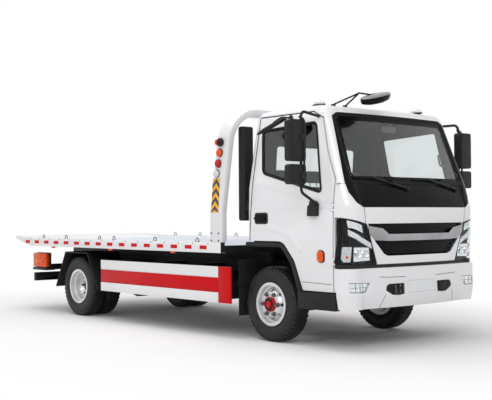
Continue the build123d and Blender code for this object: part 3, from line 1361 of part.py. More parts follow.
# Air intake duct behind the cab, on the right
duct_gap = 30
duct_front_x = cab_rear_x - duct_gap
duct_depth = 90
duct_inner_y = 860
duct_outer_y = 1000
duct_bottom_z = 1250
duct_top_z = 2250
with BuildPart() as air_intake:
    across(box_outline(duct_front_x - duct_depth, duct_front_x, duct_bottom_z, duct_top_z),
           -duct_outer_y, -duct_inner_y, overrun / 2)
    across(box_outline(duct_front_x, cab_rear_x, duct_bottom_z + 2 * overrun, duct_bottom_z + 4 * overrun),
           -duct_inner_y - 2 * overrun, -duct_inner_y - overrun / 2)
finish(air_intake, "air_intake")

# Roof mirror on a bent arm over the windshield
roof_foot_shares = (0.66, 0.72, 0.99)
roof_arm_setback = 150
roof_arm_end_shares = (0.56, 1.05)
roof_foot = (cab_rear_x + roof_foot_shares[0] * cab_length, -roof_foot_shares[1] * cab_half_width,
             cab_bottom_z + roof_foot_shares[2] * cab_height)
roof_arm_end = (nose_x - roof_arm_setback, -roof_arm_end_shares[0] * cab_half_width,
                cab_bottom_z + roof_arm_end_shares[1] * cab_height)
roof_mirror_half = 165
roof_mirror_depth = 80
roof_mirror_rake = 17
roof_arm_radius = 12
with BuildPart() as roof_mirror:
    bar(roof_foot, roof_arm_end, roof_arm_radius)
    centre = Vector(*roof_arm_end)
    tip = (sin(radians(roof_mirror_rake)), 0, cos(radians(roof_mirror_rake)))
    with BuildSketch(Plane(origin=centre, z_dir=tip)) as head:
        Ellipse(roof_mirror_depth, roof_mirror_half)
    extrude(head.sketch, amount=roof_mirror_depth / 4, both=True)
    add(cab_roof.part, mode=Mode.SUBTRACT)
    add(cab_front_panel.part, mode=Mode.SUBTRACT)
finish(roof_mirror, "roof_mirror")
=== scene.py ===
import bmesh
import bpy
import json
import math
from mathutils import Matrix, Vector
from mathutils.bvhtree import BVHTree
from mathutils.geometry import delaunay_2d_cdt

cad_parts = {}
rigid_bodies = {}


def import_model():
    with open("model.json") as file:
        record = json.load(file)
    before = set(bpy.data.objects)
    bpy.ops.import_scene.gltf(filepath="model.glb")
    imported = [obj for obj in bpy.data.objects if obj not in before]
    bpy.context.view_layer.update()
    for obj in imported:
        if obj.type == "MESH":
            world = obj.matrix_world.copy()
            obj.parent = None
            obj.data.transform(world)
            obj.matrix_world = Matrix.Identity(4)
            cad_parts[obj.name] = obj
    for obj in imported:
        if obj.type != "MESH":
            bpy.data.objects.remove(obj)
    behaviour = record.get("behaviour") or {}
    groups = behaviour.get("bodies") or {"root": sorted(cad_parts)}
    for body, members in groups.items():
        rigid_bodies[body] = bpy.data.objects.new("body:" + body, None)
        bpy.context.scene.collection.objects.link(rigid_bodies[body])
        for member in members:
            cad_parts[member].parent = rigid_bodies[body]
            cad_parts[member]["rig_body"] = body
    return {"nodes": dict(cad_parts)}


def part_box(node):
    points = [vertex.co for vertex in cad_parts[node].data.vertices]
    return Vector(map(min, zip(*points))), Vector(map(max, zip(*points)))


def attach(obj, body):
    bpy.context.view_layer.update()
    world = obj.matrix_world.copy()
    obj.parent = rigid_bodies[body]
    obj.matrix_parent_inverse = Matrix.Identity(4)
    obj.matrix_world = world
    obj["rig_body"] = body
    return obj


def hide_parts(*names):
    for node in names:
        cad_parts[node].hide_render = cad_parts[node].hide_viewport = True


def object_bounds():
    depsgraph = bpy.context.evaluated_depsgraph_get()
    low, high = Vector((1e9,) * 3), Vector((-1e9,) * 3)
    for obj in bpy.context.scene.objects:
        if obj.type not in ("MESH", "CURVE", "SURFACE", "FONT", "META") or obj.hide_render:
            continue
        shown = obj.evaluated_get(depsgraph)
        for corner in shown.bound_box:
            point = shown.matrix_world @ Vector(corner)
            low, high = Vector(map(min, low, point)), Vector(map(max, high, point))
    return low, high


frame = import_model()
cadLow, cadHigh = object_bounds()
nodes = frame["nodes"]

# Stations of the truck in metres, read from the frame where a node gives them
frontAxleX = sum(c.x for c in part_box("front_right_tyre")) / 2
rearAxleX = sum(c.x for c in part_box("rear_right_tyres")) / 2
axleZ = sum(c.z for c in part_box("front_right_tyre")) / 2
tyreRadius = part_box("front_right_tyre")[1].z - axleZ
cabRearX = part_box("cab_rear_wall")[0].x
sides = {"right": -1, "left": 1}
print("frame loaded", len(nodes), "nodes")


def placed(name, data):
    thing = bpy.data.objects.new(name, data)
    bpy.context.scene.collection.objects.link(thing)
    return thing


# Camera at the photograph's angle
cameraView = {"place": (9.282, -7.417, 1.292), "azimuth": 49.71, "pitch": 1.19, "roll": -0.39,
              "focalPixels": 943.5, "imageWidth": 492, "shiftPixels": -2.9, "sensor": 36}


def addCamera(view):
    data = bpy.data.cameras.new("PhotoCamera")
    data.sensor_width = view["sensor"]
    data.lens = view["focalPixels"] / view["imageWidth"] * view["sensor"]
    data.shift_y = view["shiftPixels"] / view["imageWidth"]
    azimuth, pitch, roll = (math.radians(view[k]) for k in ("azimuth", "pitch", "roll"))
    ahead = Vector((-math.sin(azimuth) * math.cos(pitch), math.cos(azimuth) * math.cos(pitch),
                    math.sin(pitch)))
    aside = Vector((math.cos(azimuth), math.sin(azimuth), 0))
    above = aside.cross(ahead)
    rightward = aside * math.cos(roll) + above * math.sin(roll)
    upward = above * math.cos(roll) - aside * math.sin(roll)
    turn = Matrix((rightward, upward, -ahead)).transposed()
    camera = placed("PhotoCamera", data)
    camera.matrix_world = Matrix.Translation(view["place"]) @ turn.to_4x4()
    bpy.context.scene.camera = camera


addCamera(cameraView)

# Finishes: base colour, second tone and its scale, roughness range, grain scale and depth, and the rest
finishes = {
    "whitePaint": ((0.83, 0.83, 0.845), (0.79, 0.79, 0.81), 0.9, (0.24, 0.34), 260, 0.03, {"coat": 0.6}),
    "hoopPaint": ((0.8, 0.8, 0.815), (0.74, 0.745, 0.76), 1.6, (0.32, 0.44), 180, 0.05, {"coat": 0.3}),
    "blackPaint": ((0.008, 0.008, 0.009), (0.014, 0.014, 0.013), 5, (0.42, 0.6), 120, 0.15,
                   {"specular": 0.25}),
    "glossBlack": ((0.004, 0.004, 0.005), (0.006, 0.006, 0.007), 3, (0.16, 0.26), 200, 0.02,
                   {"specular": 0.08, "coat": 0.02}),
    "blackPlastic": ((0.009, 0.009, 0.01), (0.015, 0.015, 0.016), 7, (0.48, 0.62), 700, 0.35,
                     {"specular": 0.25}),
    "rubberSeal": ((0.005, 0.005, 0.005), (0.008, 0.008, 0.008), 20, (0.6, 0.75), 400, 0.2,
                   {"specular": 0.2}),
    "tyreRubber": ((0.009, 0.009, 0.0095), (0.015, 0.015, 0.015), 9, (0.4, 0.55), 320, 0.25,
                   {"specular": 0.32}),
    "rimSilver": ((0.74, 0.745, 0.755), (0.62, 0.625, 0.64), 6, (0.26, 0.4), 300, 0.05, {"metal": 0.45}),
    "brightBand": ((0.38, 0.385, 0.395), (0.27, 0.275, 0.285), 3, (0.08, 0.16), 150, 0.01, {"metal": 1}),
    "nutSteel": ((0.12, 0.12, 0.125), (0.22, 0.22, 0.225), 60, (0.3, 0.45), 500, 0.1, {"metal": 1}),
    "hubRed": ((0.56, 0.006, 0.012), (0.44, 0.005, 0.01), 12, (0.25, 0.35), 200, 0.03,
               {"specular": 0.25, "coat": 0.1}),
    "guardRed": ((0.62, 0.005, 0.009), (0.56, 0.004, 0.008), 2, (0.34, 0.45), 220, 0.03, {"specular": 0.12}),
    "chrome": ((0.78, 0.79, 0.8), (0.7, 0.71, 0.73), 4, (0.06, 0.13), 150, 0.01, {"metal": 1}),
    "satinSteel": ((0.46, 0.46, 0.47), (0.34, 0.34, 0.35), 14, (0.3, 0.5), 260, 0.15, {"metal": 1}),
    "castIron": ((0.024, 0.023, 0.023), (0.038, 0.036, 0.034), 18, (0.6, 0.8), 180, 0.6,
                 {"specular": 0.3, "metal": 0.3}),
    "tankAlloy": ((0.52, 0.53, 0.54), (0.43, 0.44, 0.45), 5, (0.26, 0.42), 130, 0.05, {"metal": 1}),
    "deckPaint": ((0.68, 0.72, 0.8), (0.73, 0.765, 0.825), 6, (0.36, 0.55), 160, 0.1, {"coat": 0.15}),
    "cabTrim": ((0.04, 0.041, 0.043), (0.05, 0.051, 0.053), 5, (0.7, 0.85), 500, 0.3, {"specular": 0.25}),
    "mirrorShell": ((0.19, 0.192, 0.198), (0.24, 0.242, 0.248), 12, (0.3, 0.4), 300, 0.05, {"coat": 0.2}),
    "pillarTrim": ((0.2, 0.205, 0.21), (0.23, 0.235, 0.24), 5, (0.6, 0.75), 500, 0.2, {}),
    "dashPlastic": ((0.016, 0.016, 0.018), (0.024, 0.024, 0.026), 9, (0.55, 0.7), 600, 0.4,
                    {"specular": 0.25}),
    "floorMat": ((0.018, 0.018, 0.018), (0.03, 0.03, 0.03), 15, (0.8, 0.9), 250, 0.6, {}),
    "lampReflector": ((0.86, 0.87, 0.88), (0.74, 0.75, 0.77), 40, (0.08, 0.2), 90, 0.1, {"metal": 1}),
    "lampHousing": ((0.006, 0.006, 0.007), (0.01, 0.01, 0.011), 30, (0.25, 0.4), 320, 0.3,
                    {"specular": 0.12}),
    "lightBar": ((0.88, 0.89, 0.9), (0.72, 0.73, 0.75), 60, (0.12, 0.25), 120, 0.2, {"coat": 0.5}),
    "amberLens": ((0.86, 0.115, 0.003), (0.66, 0.045, 0.002), 22, (0.12, 0.22), 110, 0.4,
                  {"specular": 0.25, "coat": 0.15}),
    "redLens": ((0.58, 0.006, 0.01), (0.42, 0.004, 0.006), 22, (0.12, 0.22), 110, 0.4,
                {"specular": 0.25, "coat": 0.15}),
    "clearLens": ((0.72, 0.73, 0.74), (0.58, 0.59, 0.6), 40, (0.08, 0.16), 110, 0.4, {"coat": 0.6}),
    "tapeRed": ((0.66, 0.004, 0.006), (0.54, 0.004, 0.006), 45, (0.3, 0.45), 300, 0.15, {"specular": 0.12}),
    "tapeWhite": ((0.8, 0.81, 0.82), (0.74, 0.75, 0.77), 60, (0.3, 0.4), 300, 0.15, {"coat": 0.3}),
    "warnYellow": ((0.92, 0.46, 0.01), (0.86, 0.4, 0.01), 25, (0.35, 0.5), 260, 0.1, {}),
    "warnBlack": ((0.03, 0.035, 0.05), (0.045, 0.05, 0.065), 25, (0.35, 0.5), 260, 0.1, {}),
    "seatCloth": ((0.05, 0.052, 0.056), (0.075, 0.077, 0.08), 6, (0.85, 0.95), 900, 0.6, {"sheen": 0.4}),
}


def wire(tree, *cables):
    # each cable: a node, its output, the next node and its input
    for source, output, target, entry in cables:
        tree.links.new(source.outputs[output], target.inputs[entry])


def newMaterial(name):
    material = bpy.data.materials.new(name)
    material.use_nodes = True
    return material, material.node_tree, material.node_tree.nodes["Principled BSDF"]


def addFinish(name, color, second, toneScale, rough, grainScale, grainDepth, rest):
    material, tree, shader = newMaterial(name)
    shader.inputs["Metallic"].default_value = rest.get("metal", 0)
    shader.inputs["Coat Weight"].default_value = rest.get("coat", 0)
    shader.inputs["Specular IOR Level"].default_value = rest.get("specular", 0.5)
    shader.inputs["Coat Roughness"].default_value = 0.06
    shader.inputs["Sheen Weight"].default_value = rest.get("sheen", 0)
    place = tree.nodes.new("ShaderNodeTexCoord")
    tone = tree.nodes.new("ShaderNodeTexNoise")
    tone.inputs["Scale"].default_value = toneScale
    tone.inputs["Detail"].default_value = 5
    spread = tree.nodes.new("ShaderNodeMapRange")
    spread.inputs["From Min"].default_value = 0.35
    spread.inputs["From Max"].default_value = 0.65
    mix = tree.nodes.new("ShaderNodeMix")
    mix.data_type = "RGBA"
    mix.inputs["A"].default_value = (*color, 1)
    mix.inputs["B"].default_value = (*second, 1)
    gloss = tree.nodes.new("ShaderNodeMapRange")
    gloss.inputs["To Min"].default_value, gloss.inputs["To Max"].default_value = rough
    grain = tree.nodes.new("ShaderNodeTexNoise")
    grain.inputs["Scale"].default_value = grainScale
    grain.inputs["Detail"].default_value = 2
    bump = tree.nodes.new("ShaderNodeBump")
    bump.inputs["Strength"].default_value = grainDepth
    bump.inputs["Distance"].default_value = 0.001
    wire(tree, (place, "Object", tone, "Vector"), (place, "Object", grain, "Vector"),
         (tone, "Fac", spread, "Value"), (spread, "Result", mix, "Factor"),
         (mix, "Result", shader, "Base Color"), (tone, "Fac", gloss, "Value"),
         (gloss, "Result", shader, "Roughness"), (grain, "Fac", bump, "Height"),
         (bump, "Normal", shader, "Normal"))
    return material


materials = {name: addFinish(name, *look) for name, look in finishes.items()}

# Clear materials and the mirrors: colour, roughness, how much light goes through and how it bends
glasses = {
    "cabGlass": {"color": (0.84, 0.87, 0.87), "rough": 0.0, "through": 1.0},
    "lampCover": {"color": (0.95, 0.97, 0.98), "rough": 0.0, "through": 1.0, "bend": 1.18},
    "mirrorGlass": {"color": (0.80, 0.82, 0.84), "rough": 0.02, "through": 0.0},
}


def addGlass(name, look):
    material, tree, shader = newMaterial(name)
    shader.inputs["Roughness"].default_value = look["rough"]
    shader.inputs["Transmission Weight"].default_value = look["through"]
    shader.inputs["Metallic"].default_value = 1 - look["through"]
    shader.inputs["IOR"].default_value = look.get("bend", 1.45)
    place = tree.nodes.new("ShaderNodeTexCoord")
    cloud = tree.nodes.new("ShaderNodeTexNoise")
    cloud.inputs["Scale"].default_value = 2
    mix = tree.nodes.new("ShaderNodeMix")
    mix.data_type = "RGBA"
    mix.inputs["A"].default_value = (*look["color"], 1)
    mix.inputs["B"].default_value = (*(0.97 * c for c in look["color"]), 1)
    wire(tree, (place, "Object", cloud, "Vector"), (cloud, "Fac", mix, "Factor"),
         (mix, "Result", shader, "Base Color"))
    return material


materials.update({name: addGlass(name, look) for name, look in glasses.items()})
print("finishes", len(materials))


# Mesh helpers: pieces, their edges and faces, and bodies of simple form
def meshPiece(name, points, faces, finish):
    mesh = bpy.data.meshes.new(name)
    mesh.from_pydata([tuple(p) for p in points], [], [list(f) for f in faces])
    mesh.materials.append(materials[finish])
    return placed(name, mesh)


def applied(piece):
    bpy.context.view_layer.update()
    graph = bpy.context.evaluated_depsgraph_get()
    mesh = bpy.data.meshes.new_from_object(piece.evaluated_get(graph))
    piece.modifiers.clear()
    piece.data = mesh
    return piece


sharpFrom = 35  # degrees between faces from which an edge is bevelled


def rounded(piece, edge, steps=2):
    bevel = piece.modifiers.new("Edge", "BEVEL")
    bevel.width = edge
    bevel.segments = steps
    bevel.limit_method = "ANGLE"
    bevel.angle_limit = math.radians(sharpFrom)
    return applied(piece)


def closedOut(piece):
    form = bmesh.new()
    form.from_mesh(piece.data)
    bmesh.ops.remove_doubles(form, verts=form.verts, dist=0.00001)
    bmesh.ops.recalc_face_normals(form, faces=form.faces)
    form.to_mesh(piece.data)
    form.free()
    return piece


def fitted(piece, body, angle=40):
    piece.data.shade_smooth()
    piece.data.set_sharp_from_angle(angle=math.radians(angle))
    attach(piece, body)
    return piece


def joined(name, pieces):
    points, faces, spots, kinds = [], [], [], []
    for piece in pieces:
        start = len(points)
        points += [v.co.copy() for v in piece.data.vertices]
        for polygon in piece.data.polygons:
            faces.append([start + i for i in polygon.vertices])
            kind = piece.data.materials[polygon.material_index]
            if kind not in kinds:
                kinds.append(kind)
            spots.append(kinds.index(kind))
        bpy.data.objects.remove(piece)
    mesh = bpy.data.meshes.new(name)
    mesh.from_pydata([tuple(p) for p in points], [], faces)
    for kind in kinds:
        mesh.materials.append(kind)
    mesh.polygons.foreach_set("material_index", spots)
    return placed(name, mesh)


def prism(name, outline, axis, low, high, finish, edge, steps=2):
    # outline is in the two other axes, in the order x, y, z
    order = {"x": (1, 2, 0), "y": (0, 2, 1), "z": (0, 1, 2)}[axis]
    points = []
    for level in (low, high):
        for a, b in outline:
            point = [0, 0, 0]
            point[order[0]], point[order[1]], point[order[2]] = a, b, level
            points.append(point)
    count = len(outline)
    faces = [list(range(count)), list(range(2 * count - 1, count - 1, -1))]
    faces += [[i, i + count, (i + 1) % count + count, (i + 1) % count] for i in range(count)]
    piece = closedOut(meshPiece(name, points, faces, finish))
    return rounded(piece, edge, steps) if edge else piece


def block(name, low, high, finish, edge, steps=2):
    outline = [(low[0], low[1]), (high[0], low[1]), (high[0], high[1]), (low[0], high[1])]
    return prism(name, outline, "z", low[2], high[2], finish, edge, steps)


def layered(name, rings, finish, closed=False):
    # a skin through rings of points; an open one gets a cap at each end
    count, size = len(rings), len(rings[0])
    faces = []
    for i in range(count if closed else count - 1):
        here, there = i * size, (i + 1) % count * size
        faces += [[here + s, here + (s + 1) % size, there + (s + 1) % size, there + s] for s in range(size)]
    if not closed:
        faces += [list(range(size)), list(range((count - 1) * size, count * size))]
    return meshPiece(name, [point for ring in rings for point in ring], faces, finish)


def anglesOf(count):
    return [2 * math.pi * k / count for k in range(count)]


def lathe(name, profile, centre, axis, finish, segments):
    # profile holds radius and distance along the axis from the centre
    axis = Vector(axis).normalized()
    across = axis.orthogonal().normalized()
    over = axis.cross(across)
    rings = []
    for turn in anglesOf(segments):
        ray = across * math.cos(turn) + over * math.sin(turn)
        rings.append([Vector(centre) + ray * radius + axis * along for radius, along in profile])
    return closedOut(cleaned(layered(name, rings, finish, closed=True)))


def cleaned(piece):
    form = bmesh.new()
    form.from_mesh(piece.data)
    bmesh.ops.remove_doubles(form, verts=form.verts, dist=0.00001)
    bmesh.ops.dissolve_degenerate(form, edges=form.edges, dist=0.000001)
    form.to_mesh(piece.data)
    form.free()
    return piece


cornerSteps = 5


def softened(points, radius, closed=False):
    # the path with its corners rounded
    count, result = len(points), []
    for i, point in enumerate(points):
        here = Vector(point)
        if not closed and i in (0, count - 1):
            result.append(here)
            continue
        before, after = Vector(points[i - 1]), Vector(points[(i + 1) % count])
        back, ahead = before - here, after - here
        reach = min(radius, back.length * 0.45, ahead.length * 0.45)
        start, end = here + back.normalized() * reach, here + ahead.normalized() * reach
        for step in range(cornerSteps + 1):
            t = step / cornerSteps
            result.append(start.lerp(here, t).lerp(here.lerp(end, t), t))
    return result


def resampled(points, spacing, closed):
    result = []
    count = len(points)
    for i in range(count if closed else count - 1):
        start, end = Vector(points[i]), Vector(points[(i + 1) % count])
        pieces = max(1, math.ceil((end - start).length / spacing))
        result += [start.lerp(end, step / pieces) for step in range(pieces)]
    if not closed:
        result.append(Vector(points[-1]))
    return result


def flatPath(points, spacing, closed=False):
    return resampled([Vector((*p, 0)) for p in points], spacing, closed)


def tube(name, points, radius, finish, sides):
    path = [Vector(p) for p in points]
    rings, up = [], None
    for i, point in enumerate(path):
        way = (path[min(i + 1, len(path) - 1)] - path[max(i - 1, 0)]).normalized()
        up = way.orthogonal().normalized() if up is None else (up - way * up.dot(way)).normalized()
        over = way.cross(up)
        rings.append([point + (up * math.cos(turn) + over * math.sin(turn)) * radius
                      for turn in anglesOf(sides)])
    return closedOut(layered(name, rings, finish))


# The way that each side is looked at: outward direction, and where a line of sight starts
lookouts = {
    "front": (Vector((1, 0, 0)), lambda a, b: Vector((8, a, b))),
    "rear": (Vector((-1, 0, 0)), lambda a, b: Vector((-8, a, b))),
    "right": (Vector((0, -1, 0)), lambda a, b: Vector((a, -8, b))),
    "left": (Vector((0, 1, 0)), lambda a, b: Vector((a, 8, b))),
    "top": (Vector((0, 0, 1)), lambda a, b: Vector((a, b, 8))),
}


def skinOf(*names):
    points, faces = [], []
    for name in names:
        mesh = nodes[name].data
        start = len(points)
        points += [v.co.copy() for v in mesh.vertices]
        faces += [[start + i for i in p.vertices] for p in mesh.polygons]
    return BVHTree.FromPolygons(points, faces)


def touch(skin, look, a, b):
    outward, start = lookouts[look]
    hit, normal, _, _ = skin.ray_cast(start(a, b), -outward)
    if hit is None:
        return None, outward
    return hit, normal if normal.dot(outward) > 0 else -normal


def skinPlate(name, outline, look, skin, finish, lift, depth, spacing):
    # a plate over an outline, bent to the surface below it
    loop = flatPath(outline, spacing, closed=True)
    rim = [p.to_2d() for p in loop]
    spots = list(rim)
    lows = [min(p[k] for p in rim) for k in (0, 1)]
    highs = [max(p[k] for p in rim) for k in (0, 1)]
    for i in range(1, int((highs[0] - lows[0]) / spacing) + 1):
        for j in range(1, int((highs[1] - lows[1]) / spacing) + 1):
            spots.append(Vector((lows[0] + i * spacing, lows[1] + j * spacing)))
    edges = [(i, (i + 1) % len(rim)) for i in range(len(rim))]
    flat, _, triangles, _, _, _ = delaunay_2d_cdt(spots, edges, [list(range(len(rim)))], 1, 0.0001)
    hits = [touch(skin, look, *spot) for spot in flat]
    known = [hit for hit, _ in hits if hit is not None]
    outward = lookouts[look][0]
    points = []
    for spot, (hit, normal) in zip(flat, hits):
        if hit is None:
            start = lookouts[look][1](*spot)
            near = min(known, key=lambda k: (k - start - outward * (k - start).dot(outward)).length)
            hit = start + outward * (near - start).dot(outward)
        points.append((hit, normal))
    used = sorted({i for t in triangles for i in t})
    place = {old: new for new, old in enumerate(used)}
    tops = [points[i][0] + points[i][1] * lift for i in used]
    bottoms = [points[i][0] + points[i][1] * (lift - depth) for i in used]
    faces = [[place[i] for i in t] for t in triangles]
    count = len(used)
    owners = {}
    for face in faces:
        for i in range(len(face)):
            pair = (face[i], face[(i + 1) % len(face)])
            owners[tuple(sorted(pair))] = owners.get(tuple(sorted(pair)), 0) + 1
    walls = []
    for face in faces:
        for i in range(len(face)):
            a, b = face[i], face[(i + 1) % len(face)]
            if owners[tuple(sorted((a, b)))] == 1:
                walls.append([b, a, a + count, b + count])
    under = [[i + count for i in reversed(face)] for face in faces]
    return closedOut(meshPiece(name, tops + bottoms, faces + under + walls, finish))


beadProfile = ((-0.5, -0.4), (-0.5, 0.55), (-0.3, 1), (0.3, 1), (0.5, 0.55), (0.5, -0.4))


def skinRibbon(name, path, look, skin, finish, width, height, closed=True, profile=beadProfile):
    # a strip of even width along a path, lying on the surface
    count = len(path)
    outward = lookouts[look][0]
    points, last = [], None
    for i in range(count):
        here = path[i]
        before = path[i - 1] if (i or closed) else here
        after = path[(i + 1) % count] if (i < count - 1 or closed) else here
        way = (after - before).to_2d().normalized()
        across = Vector((-way.y, way.x))
        for side, level in profile:
            spot = here.to_2d() + across * side * width
            hit, normal = touch(skin, look, *spot)
            if hit is None:
                start = lookouts[look][1](*spot)
                hit = start + outward * ((last or start) - start).dot(outward)
            last = hit
            points.append(hit + normal * level * height)
    size = len(profile)
    faces = []
    for i in range(count if closed else count - 1):
        here, there = i * size, (i + 1) % count * size
        faces += [[here + s, there + s, there + (s + 1) % size, here + (s + 1) % size] for s in range(size)]
    if not closed:
        faces += [list(range(size)), list(range((count - 1) * size, count * size))]
    return closedOut(meshPiece(name, points, faces, finish))


# Geometry Nodes trees for parts that repeat
def startTree(name, inputs):
    tree = bpy.data.node_groups.new(name, "GeometryNodeTree")
    tree.interface.new_socket("Geometry", in_out="INPUT", socket_type="NodeSocketGeometry")
    for label, kind in inputs:
        tree.interface.new_socket(label, in_out="INPUT", socket_type="NodeSocket" + kind)
    tree.interface.new_socket("Geometry", in_out="OUTPUT", socket_type="NodeSocketGeometry")
    return tree, tree.nodes.new("NodeGroupInput"), tree.nodes.new("NodeGroupOutput")


def endTree(tree, copies, start, end):
    real = tree.nodes.new("GeometryNodeRealizeInstances")
    dress = tree.nodes.new("GeometryNodeSetMaterial")
    wire(tree, (copies, "Instances", real, "Geometry"), (real, "Geometry", dress, "Geometry"),
         (start, "Finish", dress, "Material"), (dress, "Geometry", end, "Geometry"))
    return tree


def addRowTree():
    tree, start, end = startTree("PartsInARow", (("Part", "Object"), ("Count", "Int"), ("First", "Vector"),
                                                 ("Step", "Vector"), ("Finish", "Material")))
    line = tree.nodes.new("GeometryNodeMeshLine")
    part = tree.nodes.new("GeometryNodeObjectInfo")
    copies = tree.nodes.new("GeometryNodeInstanceOnPoints")
    wire(tree, (start, "Count", line, "Count"), (start, "First", line, "Start Location"),
         (start, "Step", line, "Offset"), (start, "Part", part, "Object"), (line, "Mesh", copies, "Points"),
         (part, "Geometry", copies, "Instance"))
    return endTree(tree, copies, start, end)


def addRingTree():
    tree, start, end = startTree("PartsInARing", (("Part", "Object"), ("Count", "Int"), ("Radius", "Float"),
                                                  ("Finish", "Material")))
    ring = tree.nodes.new("GeometryNodeMeshCircle")
    part = tree.nodes.new("GeometryNodeObjectInfo")
    copies = tree.nodes.new("GeometryNodeInstanceOnPoints")
    number = tree.nodes.new("GeometryNodeInputIndex")
    share = tree.nodes.new("ShaderNodeMath")
    share.operation = "DIVIDE"
    angle = tree.nodes.new("ShaderNodeMath")
    angle.operation = "MULTIPLY"
    angle.inputs[1].default_value = 2 * math.pi
    turn = tree.nodes.new("ShaderNodeCombineXYZ")
    wire(tree, (start, "Count", ring, "Vertices"), (start, "Radius", ring, "Radius"),
         (start, "Part", part, "Object"),
         (ring, "Mesh", copies, "Points"), (part, "Geometry", copies, "Instance"),
         (number, "Index", share, 0),
         (start, "Count", share, 1), (share, "Value", angle, 0), (angle, "Value", turn, "Z"),
         (turn, "Vector", copies, "Rotation"))
    return endTree(tree, copies, start, end)


rowTree = addRowTree()
ringTree = addRingTree()


def grown(name, tree, settings, place=None):
    piece = placed(name, bpy.data.meshes.new(name))
    modifier = piece.modifiers.new("Repeat", "NODES")
    modifier.node_group = tree
    for socket in tree.interface.items_tree:
        if socket.item_type == "SOCKET" and socket.in_out == "INPUT" and socket.name in settings:
            modifier[socket.identifier] = settings[socket.name]
    applied(piece)
    if place is not None:
        piece.data.transform(place)
    return piece


def row(name, part, count, first, step, finish):
    piece = grown(name, rowTree, {"Part": part, "Count": count, "First": Vector(first), "Step": Vector(step),
                                  "Finish": materials[finish]})
    bpy.data.objects.remove(part)
    return piece


def ring(name, part, count, radius, finish, centre, axis):
    turn = Vector((0, 0, 1)).rotation_difference(Vector(axis)).to_matrix().to_4x4()
    piece = grown(name, ringTree, {"Part": part, "Count": count, "Radius": radius,
                                   "Finish": materials[finish]},
                  Matrix.Translation(centre) @ turn)
    bpy.data.objects.remove(part)
    return piece


# Soft edged copies of the painted and moulded panels, which stand for their plain nodes
panels = {
    # node: outside finish, inside finish, edge radius, smoothing angle, slot
    "cab_roof": ("whitePaint", "cabTrim", 0.008, 50, "white_paint"),
    "cab_rear_wall": ("whitePaint", "cabTrim", 0.006, 50, "white_paint"),
    "cab_front_panel": ("whitePaint", "pillarTrim", 0.006, 50, "white_paint"),
    "right_door": ("whitePaint", "cabTrim", 0.006, 50, "white_paint"),
    "left_door": ("whitePaint", "cabTrim", 0.006, 50, "white_paint"),
    "cowl_panel": ("glossBlack", "dashPlastic", 0.004, 50, "black_plastic"),
    "front_bumper": ("whitePaint", None, 0.012, 50, "white_paint"),
    "cab_sills": ("blackPlastic", None, 0.006, 50, "black_plastic"),
    "hoop": ("hoopPaint", None, 0.010, 40, "white_paint"),
    "side_guards": ("whitePaint", None, 0.004, 40, "guard_paint"),
    "mudguards": ("blackPlastic", None, 0.002, 40, "black_plastic"),
    "right_mirror": ("blackPlastic", None, 0.008, 50, "black_plastic"),
    "left_mirror": ("blackPlastic", None, 0.008, 50, "black_plastic"),
    "air_intake": ("blackPlastic", None, 0.012, 50, "black_plastic"),
    "rear_bar": ("blackPaint", None, 0.004, 40, "black_paint"),
    "winch_frame": ("blackPaint", None, 0.003, 40, "black_paint"),
    "battery_box": ("blackPlastic", None, 0.010, 40, "black_plastic"),
    "grille": ("glossBlack", None, 0.003, 40, "black_plastic"),
    "grille_band": ("brightBand", None, 0.004, 40, "chrome"),
    "bed_deck": ("whitePaint", None, 0.003, 40, "white_paint"),
    "front_right_rim": ("rimSilver", None, 0.002, 40, "rim_silver"),
    "front_left_rim": ("rimSilver", None, 0.002, 40, "rim_silver"),
    "rear_right_rims": ("rimSilver", None, 0.002, 40, "rim_silver"),
    "rear_left_rims": ("rimSilver", None, 0.002, 40, "rim_silver"),
    "dashboard": ("dashPlastic", None, 0.012, 50, "black_plastic"),
    "steering_wheel": ("dashPlastic", None, 0.003, 50, "black_plastic"),
    "fuel_tank": ("tankAlloy", None, 0.006, 50, "aluminium"),
}
cabCentre = Vector((cabRearX + 0.75, 0, 1.5))
doorSill = {"facing": 0.6, "above": 1.3, "below": 2.0}  # the window ledges of the doors, dark like the inside


def softCopy(node, outside, inside, edge, angle, slotName):
    mesh = nodes[node].data.copy()
    form = bmesh.new()
    form.from_mesh(mesh)
    bmesh.ops.remove_doubles(form, verts=form.verts, dist=0.00002)
    bmesh.ops.dissolve_limit(form, angle_limit=math.radians(0.4), verts=form.verts, edges=form.edges)
    form.to_mesh(mesh)
    form.free()
    mesh.materials.clear()
    mesh.materials.append(materials[outside])
    piece = placed(node + "_skin", mesh)
    rounded(piece, edge)
    if inside:
        piece.data.materials.append(materials[inside])
        for polygon in piece.data.polygons:
            level = doorSill["above"] < polygon.center.z < doorSill["below"]
            sill = node.endswith("_door") and polygon.normal.z > doorSill["facing"] and level
            if sill or polygon.normal.dot(cabCentre - polygon.center) > 0.02:
                polygon.material_index = 1
    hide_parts(node)
    return fitted(piece, frame["nodes"][node]["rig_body"], angle)


skins = {node: softCopy(node, *look) for node, look in panels.items()}
print("soft edged panels", len(skins))

# Nodes whose own shape is right: they keep it and get their material
keptNodes = {
    "cabGlass": ("windshield", "rear_window", "right_door_glass", "left_door_glass"),
    "floorMat": ("cab_floor",),
    "blackPaint": ("chassis_frame", "subframe", "tilt_frame", "lift_barrels", "leaf_springs"),
    "chrome": ("lift_rods",),
    "satinSteel": ("winch_drum", "exhaust"),
    "castIron": ("right_knuckle", "left_knuckle", "front_axle", "rear_axle", "engine_block", "drive_line"),
}
for finish, kept in keptNodes.items():
    for node in kept:
        mesh = nodes[node].data
        mesh.materials.clear()
        mesh.materials.append(materials[finish])
print("kept nodes dressed")

